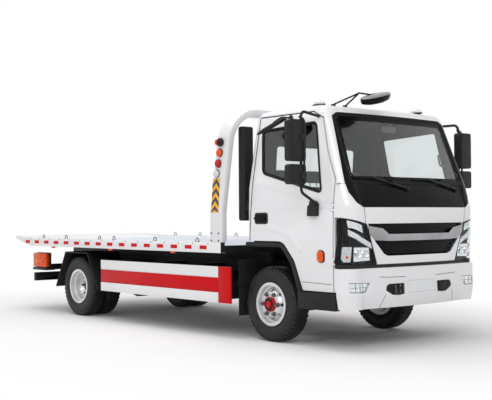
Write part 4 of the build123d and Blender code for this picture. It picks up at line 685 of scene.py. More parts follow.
# Cab windows: seals on the bodywork and dark bands printed on the glass
windshieldCorners = ((0.821, 2.292), (0.864, 1.618), (-0.864, 1.618), (-0.821, 2.292))
doorWindow = ((1.967, 1.742), (2.831, 1.524), (2.698, 2.211), (1.915, 2.175))
windowSeals = {
    # glass: look, panels under the seal, corners, corner bend, width and height, body
    "windshield": ("front", ("cab_front_panel", "windshield", "cowl_panel", "cab_roof"), windshieldCorners,
                   0.06, (0.036, 0.006), "chassis"),
    "rear_window": ("rear", ("cab_rear_wall", "rear_window"),
                    ((0.62, 1.56), (0.62, 2.06), (-0.62, 2.06), (-0.62, 1.56)), 0.06, (0.03, 0.005),
                    "chassis"),
    "right_door_glass": ("right", ("right_door", "right_door_glass"), doorWindow, 0.05, (0.032, 0.005),
                         "right_door"),
    "left_door_glass": ("left", ("left_door", "left_door_glass"), doorWindow, 0.05, (0.032, 0.005),
                        "left_door"),
}


def loopOf(corners, bend, spacing=0.03):
    return resampled(softened([Vector((*c, 0)) for c in corners], bend, closed=True), spacing, closed=True)


for window, (side, under, corners, bend, size, body) in windowSeals.items():
    rubber = skinRibbon(window + "_seal", loopOf(corners, bend), side, skinOf(*under), "rubberSeal", *size)
    fitted(rubber, body)

printBand = {"inset": 0.032, "half": (0.84, 0.335), "width": 0.05, "height": 0.0006, "bend": 0.07}
middle = Vector((0, 1.955, 0))
path = loopOf([(c[0] * (1 - printBand["inset"] / printBand["half"][0]), middle.y + (c[1] - middle.y) *
                (1 - printBand["inset"] / printBand["half"][1])) for c in windshieldCorners],
              printBand["bend"])
band = skinRibbon("windshield_print", path, "front", skinOf("windshield"), "glossBlack",
                  printBand["width"], printBand["height"])
fitted(band, "chassis")
print("window seals")

# Seams in the cab's skin, as places in the view from the front
seams = {
    "front_corner_seam": ("cab_front_panel", ((0.775, 1.372), (0.768, 1.30), (0.758, 1.226))),
    "scuttle_seam": ("cab_front_panel", ((0.868, 1.60), (0.93, 1.60), (0.985, 1.60))),
    "bumper_seam": ("front_bumper", ((0.235, 0.694), (0.40, 0.697), (0.58, 0.704))),
    "bumper_corner_seam": ("front_bumper", ((0.508, 0.538), (0.535, 0.47), (0.56, 0.41))),
}
seamSize = (0.005, 0.0009)  # width and height
for name, (panel, spots) in seams.items():
    for sideName, side in sides.items():
        path = flatPath([(side * a, b) for a, b in spots], 0.03)
        line = skinRibbon(f"{name}_{sideName}", path, "front", skinOf(panel), "rubberSeal", *seamSize,
                          closed=False)
        fitted(line, "chassis")

# Doors: pressed lines, lower seam, handle, side lamp, mirror foot
softRidge = ((-0.5, -0.1), (-0.3, 0.35), (-0.1, 0.95), (0.1, 1.0), (0.3, 0.5), (0.5, -0.1))
doorLook = {
    "shoulder": ((1.90, 1.655), (2.25, 1.570), (2.57, 1.492), (2.84, 1.437)), "shoulderSize": (0.11, 0.006),
    "fender": ((1.82, 1.188), (2.05, 1.183), (2.22, 1.150), (2.36, 1.108), (2.46, 1.045), (2.53, 0.95)),
    "fenderSize": (0.09, 0.007),
    "lowerSeam": ((2.553, 0.648), (2.76, 0.644), (2.96, 0.640)),
    "pocket": ((1.858, 1.214), (2.062, 1.214), (2.062, 1.332), (1.858, 1.332)), "pocketBend": 0.035,
    "hollow": ((1.880, 1.232), (2.036, 1.232), (2.036, 1.314), (1.880, 1.314)),
    "lever": ((1.864, 1.262), (2.030, 1.262), (2.030, 1.286), (1.864, 1.286)),
    "lamp": ((2.779, 0.851), (2.861, 0.851), (2.861, 0.957), (2.779, 0.957)), "lampBend": 0.04,
    "lampBase": ((2.773, 0.843), (2.873, 0.843), (2.873, 0.965), (2.773, 0.965)),
    "foot": ((2.668, 1.292), (2.800, 1.292), (2.806, 1.398), (2.676, 1.398)),
    "footTop": ((2.700, 1.385), (2.786, 1.385), (2.786, 1.44), (2.712, 1.44)),
}


def outlineOf(corners, bend):
    return [p.to_2d() for p in loopOf(corners, bend, 0.02)]


def softPath(points, radius):
    return [p.to_2d() for p in softened([Vector((*p, 0)) for p in points], radius)]


for sideName, side in sides.items():
    doorSkin = skinOf(sideName + "_door")
    body = sideName + "_door"

    def doorPlate(name, corners, bend, finish, lift, depth, edge=0.0):
        plate = skinPlate(f"{sideName}_{name}", outlineOf(corners, bend), sideName, doorSkin, finish, lift,
                          depth, 0.02)
        return rounded(plate, edge) if edge else plate

    def doorLine(name, path, finish, size, angle=40, profile=beadProfile):
        line = skinRibbon(f"{sideName}_{name}", flatPath(path, 0.03), sideName, doorSkin, finish, *size,
                          closed=False, profile=profile)
        return fitted(line, body, angle)

    doorLine("shoulder_line", doorLook["shoulder"], "whitePaint", doorLook["shoulderSize"],
             80, softRidge)
    doorLine("arch_line", softPath(doorLook["fender"], 0.1), "whitePaint", doorLook["fenderSize"],
             80, softRidge)
    doorLine("lower_seam", doorLook["lowerSeam"], "rubberSeal", seamSize)
    handle = joined(sideName + "_handle", [
        doorPlate("pocket", doorLook["pocket"], doorLook["pocketBend"], "blackPlastic", 0.004, 0.006,
                  0.0015),
        doorPlate("hollow", doorLook["hollow"], 0.02, "glossBlack", 0.0052, 0.002),
        doorPlate("lever", doorLook["lever"], 0.01, "glossBlack", 0.022, 0.014, 0.005),
    ])
    fitted(handle, body)
    lamp = joined(sideName + "_side_lamp", [
        doorPlate("lamp_base", doorLook["lampBase"], 0.05, "blackPlastic", 0.006, 0.007, 0.002),
        doorPlate("lamp_lens", doorLook["lamp"], doorLook["lampBend"], "amberLens", 0.017, 0.014, 0.006),
    ])
    fitted(lamp, body)
    foot = joined(sideName + "_mirror_foot", [
        doorPlate("foot_block", doorLook["foot"], 0.015, "blackPlastic", 0.034, 0.036, 0.006),
        doorPlate("foot_cap", doorLook["footTop"], 0.012, "blackPlastic", 0.042, 0.044, 0.006),
    ])
    fitted(foot, body)

# Rubber strips under the roof's edges, which close the slots over the doors
topSeal = {"x": (1.876, 2.655), "y": (0.860, 0.903), "z": (2.3178, 2.3300)}
for sideName, side in sides.items():
    near, far = sorted(side * y for y in topSeal["y"])
    strip = block(sideName + "_top_seal", (topSeal["x"][0], near, topSeal["z"][0]),
                  (topSeal["x"][1], far, topSeal["z"][1]), "rubberSeal", 0.002)
    fitted(strip, "chassis")
print("doors fitted out")

# Shades in the gap over the bumper, under the panel's chin and at its corners
cornerShade = ((3.00, 0.7925), (3.10, 0.7925), (3.10, 0.828), (3.00, 0.828))
shadeOutline = ((-1.0, 0.7925), (1.0, 0.7925), (1.0, 0.826), (-1.0, 0.826))
shade = skinPlate("bumper_gap_shade", shadeOutline, "front",
                  skinOf("cab_front_panel", "grille", "headlamps"), "blackPlastic", 0.001, 0.003, 0.025)
fitted(shade, "chassis")
for sideName in sides:
    corner = skinPlate(sideName + "_corner_shade", cornerShade, sideName,
                       skinOf("cab_front_panel", "headlamps"), "blackPlastic", 0.001, 0.003, 0.02)
    fitted(corner, "chassis")

# Black wings that widen the windshield's surround down to the cowl's lower corners
wingOutline = ((0.823, 2.288), (0.850, 2.275), (0.926, 1.62), (0.915, 1.52), (0.86, 1.42), (0.79, 1.376),
               (0.80, 1.50), (0.862, 1.62))
for sideName, side in sides.items():
    wing = skinPlate(sideName + "_cowl_wing", [(side * y, z) for y, z in wingOutline], "front",
                     skinOf("cab_front_panel", "cowl_panel"), "glossBlack", 0.003, 0.005, 0.03)
    fitted(wing, "chassis")

# Headlamps: an open dark housing with its reflectors and light bars, behind a clear cover
headlampLook = {
    "outline": ((0.996, 1.270), (0.746, 1.212), (0.606, 0.831), (0.996, 0.831)), "bend": 0.015,
    "wall": 0.008, "depth": 0.032, "coverGauge": 0.0025, "spacing": 0.02,
    "lensCentres": ((0.835, 0.926), (0.738, 0.926)), "lensRadius": 0.041, "lensSink": 0.018,
    "dots": 11, "dotStart": (0.925, 1.140), "dotEnd": (0.665, 0.999), "dotRadius": 0.007,
    "ribs": 9, "ribStart": (0.975, 1.03), "ribEnd": (0.975, 1.23), "ribWidth": 0.045,
}
headlampParts = {
    # name: outline, finish, lift, depth
    "upper_light": (((0.955, 1.252), (0.790, 1.204), (0.780, 1.130), (0.909, 1.176), (0.945, 1.180)),
                    "lampReflector", -0.012, 0.018),
    "upper_cell": (((0.930, 1.238), (0.868, 1.221), (0.862, 1.178), (0.924, 1.196)), "lightBar", -0.009,
                   0.004),
    "inner_cell": (((0.852, 1.216), (0.800, 1.200), (0.794, 1.154), (0.847, 1.172)), "lightBar", -0.009,
                   0.004),
    "day_light": (((0.949, 1.166), (0.913, 1.146), (0.640, 1.010), (0.656, 0.972), (0.942, 1.106)),
                  "lightBar", -0.008, 0.022),
    "turn_light": (((0.980, 0.998), (0.911, 0.998), (0.918, 0.854), (0.971, 0.854), (0.983, 0.885)),
                   "clearLens", -0.012, 0.018),
    "turn_bulb": (((0.958, 0.912), (0.936, 0.912), (0.936, 0.890), (0.958, 0.890)), "amberLens", -0.009,
                  0.006),
    "main_light": (((0.889, 0.993), (0.690, 0.988), (0.678, 0.864), (0.885, 0.856)), "lampReflector", -0.022,
                   0.010),
}
lampSkin = skinOf("headlamps")


def lampBowl(name, centre, way, radius):
    bowl = [(0, -0.012), (radius, -0.012), (radius, 0.010), (radius * 0.9, 0.012), (radius * 0.72, 0),
            (radius * 0.35, -0.006), (0, -0.0075)]
    eye = [(0, 0.010), (radius * 0.18, 0.008), (radius * 0.32, 0.001), (radius * 0.34, -0.006), (0, -0.006)]
    return [lathe(name, bowl, centre, way, "lampReflector", 28),
            lathe(name + "_eye", eye, centre, way, "clearLens", 20)]


def dotLine(name, count, start, end, lift, radius, finish):
    first, way = touch(lampSkin, "front", *start)
    last, _ = touch(lampSkin, "front", *end)
    dome = lathe(name + "_dot", [(0, 0), (radius, 0), (radius * 0.8, radius * 0.5), (0, radius * 0.7)],
                 (0, 0, 0), way, finish, 8)
    return row(name, dome, count, first + way * lift, (last - first) / (count - 1), finish)


def lampPlate(name, corners, bend, finish, lift, depth):
    return skinPlate(name, outlineOf(corners, bend), "front", lampSkin, finish, lift, depth,
                     headlampLook["spacing"])


lampPieces, covers = [], []
for sideName, side in sides.items():
    outline = [(side * y, z) for y, z in headlampLook["outline"]]
    lampPieces.append(lampPlate("lamp_floor", outline, headlampLook["bend"], "lampHousing",
                                -headlampLook["depth"], 0.004))
    deep = -headlampLook["depth"] * 1.1
    lampPieces.append(skinRibbon("lamp_wall", loopOf(outline, headlampLook["bend"]), "front", lampSkin,
                                 "lampHousing", headlampLook["wall"], 1,
                                 profile=((-0.5, deep), (-0.5, -0.001), (0.5, -0.001), (0.5, deep))))
    for name, (corners, finish, lift, depth) in headlampParts.items():
        corners = [(side * y, z) for y, z in corners]
        lampPieces.append(rounded(lampPlate(name, corners, 0.008, finish, lift, depth), 0.0015))
    for y, z in headlampLook["lensCentres"]:
        spot, way = touch(lampSkin, "front", side * y, z)
        lampPieces += lampBowl("main_lens", spot - way * headlampLook["lensSink"], way,
                               headlampLook["lensRadius"])
    start, end = ((side * y, z) for y, z in (headlampLook["dotStart"], headlampLook["dotEnd"]))
    lampPieces.append(dotLine("day_light_dots", headlampLook["dots"], start, end, -0.008,
                              headlampLook["dotRadius"], "lampReflector"))
    for step in range(headlampLook["ribs"]):
        share = step / (headlampLook["ribs"] - 1)
        z = headlampLook["ribStart"][1] * (1 - share) + headlampLook["ribEnd"][1] * share
        reach = headlampLook["ribWidth"] / 2
        y = headlampLook["ribStart"][0] - reach * 0.3
        path = flatPath(((side * (y - reach), z), (side * (y + reach * 0.6), z)), 0.015)
        lampPieces.append(skinRibbon("lamp_rib", path, "front", lampSkin, "lampHousing", 0.008, 1,
                                     closed=False,
                                     profile=((-0.5, -0.031), (-0.3, -0.020), (0.3, -0.020), (0.5, -0.031))))
    covers.append(lampPlate("lamp_cover", outline, headlampLook["bend"], "lampCover", 0.0015,
                            headlampLook["coverGauge"]))
lamps = joined("headlamp_housings", lampPieces)
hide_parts("headlamps")
fitted(lamps, "chassis")
fitted(joined("headlamp_covers", covers), "chassis")
print("headlamps")

# Bumper: inserts in the recesses of the lower vents and fog lamps, and a blank plate
bumperLook = {
    "vent": ((0.4965, 0.6151), (0.4623, 0.6340), (0.2462, 0.6340), (0.2502, 0.5241), (0.4181, 0.5241),
             (0.5075, 0.5721)),
    "ventSlats": (0.548, 0.566, 0.584, 0.602, 0.620), "ventLift": 0.012,
    "fog": ((0.9578, 0.6619), (0.7075, 0.6546), (0.7568, 0.5621), (0.9497, 0.5671)),
    "fogRibs": (0.790, 0.840, 0.890), "fogBar": 0.613, "fogLift": 0.013,
    "plate": ((-0.205, 0.540), (0.205, 0.540), (0.205, 0.655), (-0.205, 0.655)),
    "gap": 0.004, "lensGap": 0.016, "bend": 0.010,
}
bumperSkin = skinOf("front_bumper")


def shrunk(outline, gap):
    centre = sum((Vector(p) for p in outline), Vector((0, 0))) / len(outline)
    return [tuple(Vector(p) + (centre - Vector(p)).normalized() * gap) for p in outline]


def insideSpan(outline, level, gap, along=0):
    # where a level line crosses an outline
    cuts = []
    for i, here in enumerate(outline):
        there = outline[(i + 1) % len(outline)]
        low, high = here[1 - along], there[1 - along]
        if (low - level) * (high - level) < 0:
            share = (level - low) / (high - low)
            cuts.append(here[along] + (there[along] - here[along]) * share)
    return min(cuts) + gap, max(cuts) - gap


def bumperPlate(name, corners, finish, lift, depth):
    outline = outlineOf(corners, bumperLook["bend"])
    return skinPlate(name, outline, "front", bumperSkin, finish, lift, depth, 0.02)


def bumperRib(name, start, end, spacing, finish, width, height):
    path = flatPath((start, end), spacing)
    return skinRibbon(name, path, "front", bumperSkin, finish, width, height, closed=False)


for sideName, side in sides.items():
    vent = [(side * y, z) for y, z in bumperLook["vent"]]
    lift = bumperLook["ventLift"]
    pieces = [bumperPlate("vent_floor", shrunk(vent, bumperLook["gap"]), "blackPlastic", lift, lift)]
    for z in bumperLook["ventSlats"]:
        low, high = insideSpan(vent, z, 0.028)
        pieces.append(bumperRib("vent_slat", (low, z), (high, z), 0.03, "glossBlack", 0.006, 0.016))
    ventPiece = joined(sideName + "_bumper_vent", pieces)
    for vertex in ventPiece.data.vertices:
        vertex.co.x = min(vertex.co.x, cadHigh.x - 0.001)  # nothing stands past the bumper's nose
    fitted(ventPiece, "chassis")
    fog = [(side * y, z) for y, z in bumperLook["fog"]]
    corners, inner = shrunk(fog, bumperLook["gap"]), shrunk(fog, bumperLook["lensGap"])
    lift, bar = bumperLook["fogLift"], bumperLook["fogBar"]
    pieces = [bumperPlate("fog_base", corners, "lampHousing", 0.004, 0.004),
              bumperPlate("fog_lens", inner, "lampReflector", lift, lift - 0.003)]
    for y in bumperLook["fogRibs"]:
        low, high = insideSpan(inner, side * y, 0.004, along=1)
        pieces.append(bumperRib("fog_rib", (side * y, low), (side * y, high), 0.02, "lampHousing", 0.004,
                                lift + 0.002))
    low, high = insideSpan(inner, bar, 0.006)
    pieces.append(bumperRib("fog_bar", (low, bar), (high, bar), 0.02, "lampHousing", 0.005, lift + 0.002))
    fitted(joined(sideName + "_fog_lamp", pieces), "chassis")
    cover = bumperPlate(sideName + "_fog_cover", corners, "lampCover", 0.0195, 0.002)
    fitted(cover, "chassis")
plate = skinPlate("front_plate", outlineOf(bumperLook["plate"], 0.01), "front", bumperSkin, "tapeWhite",
                  0.0004, 0.002, 0.03)
fitted(plate, "chassis")
plateEdge = skinRibbon("front_plate_edge", loopOf(bumperLook["plate"], 0.01), "front", bumperSkin,
                       "tankAlloy", 0.004, 0.0008)
fitted(plateEdge, "chassis")
print("bumper")

# Wheels: tread grooves and shoulder blocks on the tyres, nuts and hub caps on the rims
tyreLook = {"halfTread": 0.068, "grooves": (-0.042, -0.014, 0.014, 0.042), "grooveHalf": 0.0045,
            "grooveDepth": 0.009, "shoulderStep": 0.012, "blocks": 44, "blockHalf": 0.0180,
            "blockDepth": 0.024, "blockInner": 0.064, "blockOuter": 0.0905, "segments": 96}
wheelLook = {"nuts": 6, "boltCircle": 0.113, "nutRadius": 0.0235, "ringInner": 0.0660, "ringOuter": 0.0790,
             "capRadius": 0.036, "frontSink": 0.024, "rearHub": 0.8835, "rearDish": 0.8155,
             "twinHalf": 0.1025}


def tyreProfile(radius):
    look = tyreLook
    half, tread = look["halfTread"], []
    for groove in look["grooves"]:
        lip = look["grooveHalf"]
        tread += [(radius, groove - lip), (radius - look["grooveDepth"], groove - lip * 0.6),
                  (radius - look["grooveDepth"], groove + lip * 0.6), (radius, groove + lip)]
    side = [(radius, half - 0.006), (radius - look["shoulderStep"], half - 0.003), (radius - 0.017, 0.080),
            (radius - 0.028, 0.0915), (radius - 0.033, 0.0960), (radius - 0.038, 0.0930),
            (radius - 0.046, 0.0975),
            (radius - 0.062, 0.1010), (radius - 0.080, 0.1025), (radius - 0.100, 0.1015),
            (radius - 0.104, 0.1040), (radius - 0.110, 0.0995), (radius - 0.130, 0.0965),
            (radius - 0.150, 0.0880), (radius - 0.158, 0.0850), (radius - 0.161, 0.0800)]
    other = [(r, -a) for r, a in reversed(side)]
    return other + tread + side


def dressedTyre(name, centre, outward):
    body = lathe(name, tyreProfile(tyreRadius), centre, outward, "tyreRubber", tyreLook["segments"])
    pieces = [body]
    for end in (-1, 1):
        low, high = sorted((end * tyreLook["blockInner"], end * tyreLook["blockOuter"]))
        lug = block(name + "_lug", (-tyreLook["blockDepth"], -tyreLook["blockHalf"], low),
                    (0, tyreLook["blockHalf"], high), "tyreRubber", 0)
        for vertex in lug.data.vertices:
            if abs(vertex.co.z) > tyreLook["blockOuter"] - 0.001:
                vertex.co.x -= 0.010 if vertex.co.x > -0.001 else 0
        pieces.append(ring(name + "_lugs", lug, tyreLook["blocks"], tyreRadius, "tyreRubber", centre,
                           outward))
    return pieces


def nutRing(name, count, circle, radius, centre, outward, finish):
    nut = lathe(name, [(0, -0.002), (radius, -0.002), (radius, radius * 0.8), (radius * 0.8, radius * 1.05),
                       (radius * 0.5, radius * 1.05), (radius * 0.5, radius * 1.7), (0, radius * 1.8)],
                (0, 0, 0), (0, 0, 1), finish, 6)
    return ring(name, nut, count, circle, finish, centre, outward)


look = wheelLook
for end, axleX in (("front", frontAxleX), ("rear", rearAxleX)):
    for sideName, side in sides.items():
        outward = Vector((0, side, 0))
        wheel = f"{end}_{sideName}_wheel" + ("s" if end == "rear" else "")
        tyreNode = f"{end}_{sideName}_tyre" + ("s" if end == "rear" else "")
        low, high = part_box(tyreNode)
        if end == "front":
            middles = [(low.y + high.y) / 2]
        else:
            middles = [low.y + look["twinHalf"], high.y - look["twinHalf"]]
        pieces = []
        for middle in middles:
            pieces += dressedTyre(tyreNode + "_tread", Vector((axleX, middle, axleZ)), outward)
        tyre = joined(tyreNode + "_dressed", pieces)
        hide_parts(tyreNode)
        fitted(tyre, wheel, 30)
        if end == "front":
            hubEnd = abs(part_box(f"front_{sideName}_rim")[0 if side < 0 else 1].y)
            centre = Vector((axleX, side * (hubEnd - look["frontSink"]), axleZ))
            trim = [nutRing("wheel_nuts", look["nuts"], look["boltCircle"], look["nutRadius"], centre,
                            outward, "nutSteel"),
                    lathe("hub_ring", [(look["ringInner"], 0.006), (look["ringInner"], 0.0275),
                                       (look["ringInner"] + 0.003, 0.0300),
                                       (look["ringOuter"] - 0.004, 0.0275),
                                       (look["ringOuter"], -0.002), (look["ringInner"], -0.002)],
                          centre, outward, "hubRed", 40),
                    lathe("hub_shade", [(0, 0.018), (look["ringInner"] + 0.001, 0.018),
                                        (look["ringInner"] + 0.001, 0.0243), (0, 0.0245)],
                          centre, outward, "blackPaint", 40),
                    lathe("hub_cap", [(0, 0.022), (look["capRadius"], 0.022), (look["capRadius"], 0.032),
                                      (look["capRadius"] * 0.90, 0.040), (look["capRadius"] * 0.6, 0.046),
                                      (look["capRadius"] * 0.25, 0.049), (0, 0.0495)],
                          centre, outward, "hubRed", 32)]
        else:
            centre = Vector((axleX, side * look["rearHub"], axleZ))
            dish = Vector((axleX, side * look["rearDish"], axleZ))
            trim = [nutRing("wheel_nuts", look["nuts"], look["boltCircle"], look["nutRadius"], dish, outward,
                            "nutSteel"),
                    nutRing("hub_bolts", 8, 0.052, 0.008, centre, outward, "nutSteel"),
                    lathe("hub_flange", [(0, -0.002), (0.066, -0.002), (0.066, 0.006), (0.040, 0.008),
                                         (0.034, 0.014), (0, 0.016)], centre, outward, "castIron", 32)]
        fitted(joined(f"{end}_{sideName}_hub_trim", trim), wheel, 35)
print("wheels")

# Side guards: red stripe and red end post on the white planks, dark brackets behind
guardLook = {"stripe": (0.481, 0.640), "postFrom": 1.350, "skinFrom": 1.04}
guard = skins["side_guards"]
guard.data.materials.append(materials["guardRed"])
guard.data.materials.append(materials["blackPaint"])
for polygon in guard.data.polygons:
    place = polygon.center
    if abs(place.y) < guardLook["skinFrom"]:
        polygon.material_index = 2
    elif guardLook["stripe"][0] < place.z < guardLook["stripe"][1] or place.x > guardLook["postFrom"]:
        polygon.material_index = 1

# Bed: white rails, painted deck plates, dark underside
bedLow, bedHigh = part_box("bed_deck")
bedSkin = skins["bed_deck"]
bedLook = {"railInner": 1.088, "deckLevel": 0.97, "reflectors": 16, "firstX": -2.882, "pitch": 0.2697,
           "tapeSize": (0.124, 0.042), "level": 0.963, "gauge": 0.0012,
           "markers": (-2.172, -0.727, 0.588), "markerSize": (0.075, 0.022, 0.020),
           "loops": (-2.467, -1.849, -1.009, -0.673, 0.21, 1.02), "loopRadius": 0.026, "loopWire": 0.0045,
           "bolts": 17, "boltPitch": 0.27, "boltLevel": 1.004, "boltRadius": 0.007}
bedSkin.data.materials.append(materials["deckPaint"])
bedSkin.data.materials.append(materials["blackPaint"])
for polygon in bedSkin.data.polygons:
    place = polygon.center
    if abs(place.y) > bedLook["railInner"] or place.x < bedLow.x + 0.45:
        continue
    polygon.material_index = 1 if polygon.normal.z > 0.5 and place.z > bedLook["deckLevel"] else 2
for sideName, side in sides.items():
    face = side * bedHigh.y
    strips = []
    long, tall = bedLook["tapeSize"]
    for label, finish, start in (("red", "tapeRed", 0), ("white", "tapeWhite", bedLook["pitch"] / 2)):
        low, high = sorted((-side * 0.001, side * bedLook["gauge"]))
        tile = block("tile", (-long / 2, low, -tall / 2), (long / 2, high, tall / 2), finish, 0.0005, 1)
        strips.append(row(f"{label}_tape", tile, bedLook["reflectors"] - (start > 0),
                          (bedLook["firstX"] + start, face, bedLook["level"]), (bedLook["pitch"], 0, 0),
                          finish))
    fitted(joined(sideName + "_rail_tape", strips), "bed")
    long, high, deep = bedLook["markerSize"]
    markers = []
    for x in bedLook["markers"]:
        y = side * (bedHigh.y - 0.004)
        low, top = sorted((y - side * deep, y))
        markers.append(block("marker", (x - long / 2, low, 0.907 - high), (x + long / 2, top, 0.9075),
                             "amberLens", 0.004))
    fitted(joined(sideName + "_rail_markers", markers), "bed")
    loops = []
    for x in bedLook["loops"]:
        radius = bedLook["loopRadius"]
        middle = Vector((x, side * (bedHigh.y - 0.030), 1.018))
        arch = [middle + Vector((radius * math.cos(math.pi * k / 12), 0,
                                 0.018 + radius * math.sin(math.pi * k / 12)))
                for k in range(13)]
        path = [middle + Vector((radius, 0, -0.004)), *arch, middle + Vector((-radius, 0, -0.004))]
        loops.append(tube("loop", path, bedLook["loopWire"], "blackPaint", 8))
        foot = radius + 0.010
        loops.append(block("loop_foot", middle + Vector((-foot, -0.010, -0.002)),
                           middle + Vector((foot, 0.010, 0.006)), "blackPaint", 0.002))
    knob = lathe("knob", [(0, -0.002), (bedLook["boltRadius"], -0.002), (bedLook["boltRadius"], 0.002),
                          (bedLook["boltRadius"] * 0.6, 0.004), (0, 0.0045)], (0, 0, 0), (0, side, 0),
                 "castIron", 10)
    loops.append(row("rail_bolts", knob, bedLook["bolts"], (-2.80, face, bedLook["boltLevel"]),
                     (bedLook["boltPitch"], 0, 0), "castIron"))
    fitted(joined(sideName + "_rail_loops", loops), "bed")

# Deck plates: raised tread bars in a staggered grid, and welded seams between the plates
deckLook = {"top": 0.985, "from": -2.75, "columns": 44, "rows": 20, "bar": (0.022, 0.0045, 0.0012),
            "step": (0.088, 0.104), "seams": 5, "seamPitch": 0.78, "seamSize": (0.012, 0.002)}
treads = []
for turn in (0, 1):
    long, wide, high = deckLook["bar"]
    low = (-long, -wide, -0.0005) if turn == 0 else (-wide, -long, -0.0005)
    top = (long, wide, high) if turn == 0 else (wide, long, high)
    bar = block("tread", low, top, "deckPaint", 0.0008, 1)
    stepX, stepY = deckLook["step"]
    firstY = -stepY * (deckLook["rows"] - 1) / 2 + (stepY / 2 if turn else 0)
    line = row("tread_line", bar, deckLook["columns"], (0, 0, 0), (stepX, 0, 0), "deckPaint")
    treads.append(row("tread_rows", line, deckLook["rows"] - turn,
                      (deckLook["from"] + (stepX / 2 if turn else 0), firstY, deckLook["top"]),
                      (0, stepY, 0), "deckPaint"))
seamBar = block("seam", (-deckLook["seamSize"][0] / 2, -bedLook["railInner"] + 0.004, -0.001),
                (deckLook["seamSize"][0] / 2, bedLook["railInner"] - 0.004, deckLook["seamSize"][1]),
                "deckPaint", 0.001, 1)
treads.append(row("seam_rows", seamBar, deckLook["seams"], (-2.30, 0, deckLook["top"]),
                  (deckLook["seamPitch"], 0, 0), "deckPaint"))
fitted(joined("deck_tread", treads), "bed")
print("bed dressed")

# Hoop: side lamps, warning chevrons, foot bolts
hoopLook = {
    "lamps": ((1.464, 1.973, "amberLens"), (1.438, 1.860, "redLens"), (1.409, 1.752, "clearLens")),
    "lampRadius": 0.046, "lampReach": 0.034, "rearLamp": (1.492, 2.083),
    "plate": ((1.301, 1.339), (1.427, 1.338), (1.461, 1.699), (1.339, 1.699)),
    "chevrons": (1.0, 0.735, 0.47, 0.205), "chevronDrop": 0.17, "chevronBand": 0.13,
    "bolts": ((1.304, 1.117), (1.430, 1.117), (1.304, 1.040), (1.430, 1.040)), "boltRadius": 0.007,
}


def onPlate(corners, across, up):
    low = Vector(corners[0]).lerp(Vector(corners[1]), across)
    high = Vector(corners[3]).lerp(Vector(corners[2]), across)
    return low.lerp(high, up)


hoopSkin = skinOf("hoop")
for sideName, side in sides.items():
    pieces = []
    radius, reach = hoopLook["lampRadius"], hoopLook["lampReach"]
    for x, z, finish in hoopLook["lamps"]:
        spot, way = touch(hoopSkin, sideName, x, z)
        profile = [(0, -0.002), (radius, -0.002), (radius, 0.006), (radius * 0.93, 0.009), (0, 0.009)]
        pieces.append(lathe("lamp_rim", profile, spot, way, "rubberSeal", 32))
        profile = [(0, 0.006), (radius * 0.92, 0.006), (radius * 0.90, reach * 0.7),
                   (radius * 0.72, reach * 0.9), (radius * 0.4, reach * 0.98), (0, reach)]
        pieces.append(lathe("lamp_lens", profile, spot, way, finish, 32))
    spot, way = touch(hoopSkin, sideName, *hoopLook["rearLamp"])
    profile = [(0, -0.002), (radius * 0.7, -0.002), (radius, 0.016), (radius * 0.97, 0.032),
               (radius * 0.7, 0.044), (0, 0.048)]
    pieces.append(lathe("rear_lamp_housing", profile, spot, way, "blackPlastic", 28))
    profile = [(0, 0.010), (radius * 0.80, 0.010), (radius * 0.80, 0.044), (radius * 0.60, 0.055), (0, 0.060)]
    pieces.append(lathe("rear_lamp_lens", profile, spot + way * 0.024, (-1, 0, 0), "redLens", 28))
    fitted(joined(sideName + "_hoop_lamps", pieces), "bed")
    corners = hoopLook["plate"]
    sign = [skinPlate("warning_plate", corners, sideName, hoopSkin, "warnYellow", 0.0012,
                      0.002, 0.03)]
    for top in hoopLook["chevrons"]:
        drop, band = hoopLook["chevronDrop"], hoopLook["chevronBand"]
        shares = [(0, top - drop), (0.5, top), (1, top - drop), (1, top - drop - band), (0.5, top - band),
                  (0, top - drop - band)]
        outline = [onPlate(corners, across, max(0.0, up)) for across, up in shares]
        sign.append(skinPlate("chevron", outline, sideName, hoopSkin, "warnBlack", 0.0018, 0.001, 0.02))
    fitted(joined(sideName + "_warning_plate", sign), "bed")
    bolts = []
    for x, z in hoopLook["bolts"]:
        spot, way = touch(hoopSkin, sideName, x, z)
        size = hoopLook["boltRadius"]
        bolts.append(lathe("bolt", [(0, -0.002), (size * 1.5, -0.002), (size * 1.5, 0.002), (size, 0.002),
                                    (size, 0.007), (0, 0.008)], spot, way, "castIron", 6))
    fitted(joined(sideName + "_hoop_bolts", bolts), "bed")
print("hoop dressed")

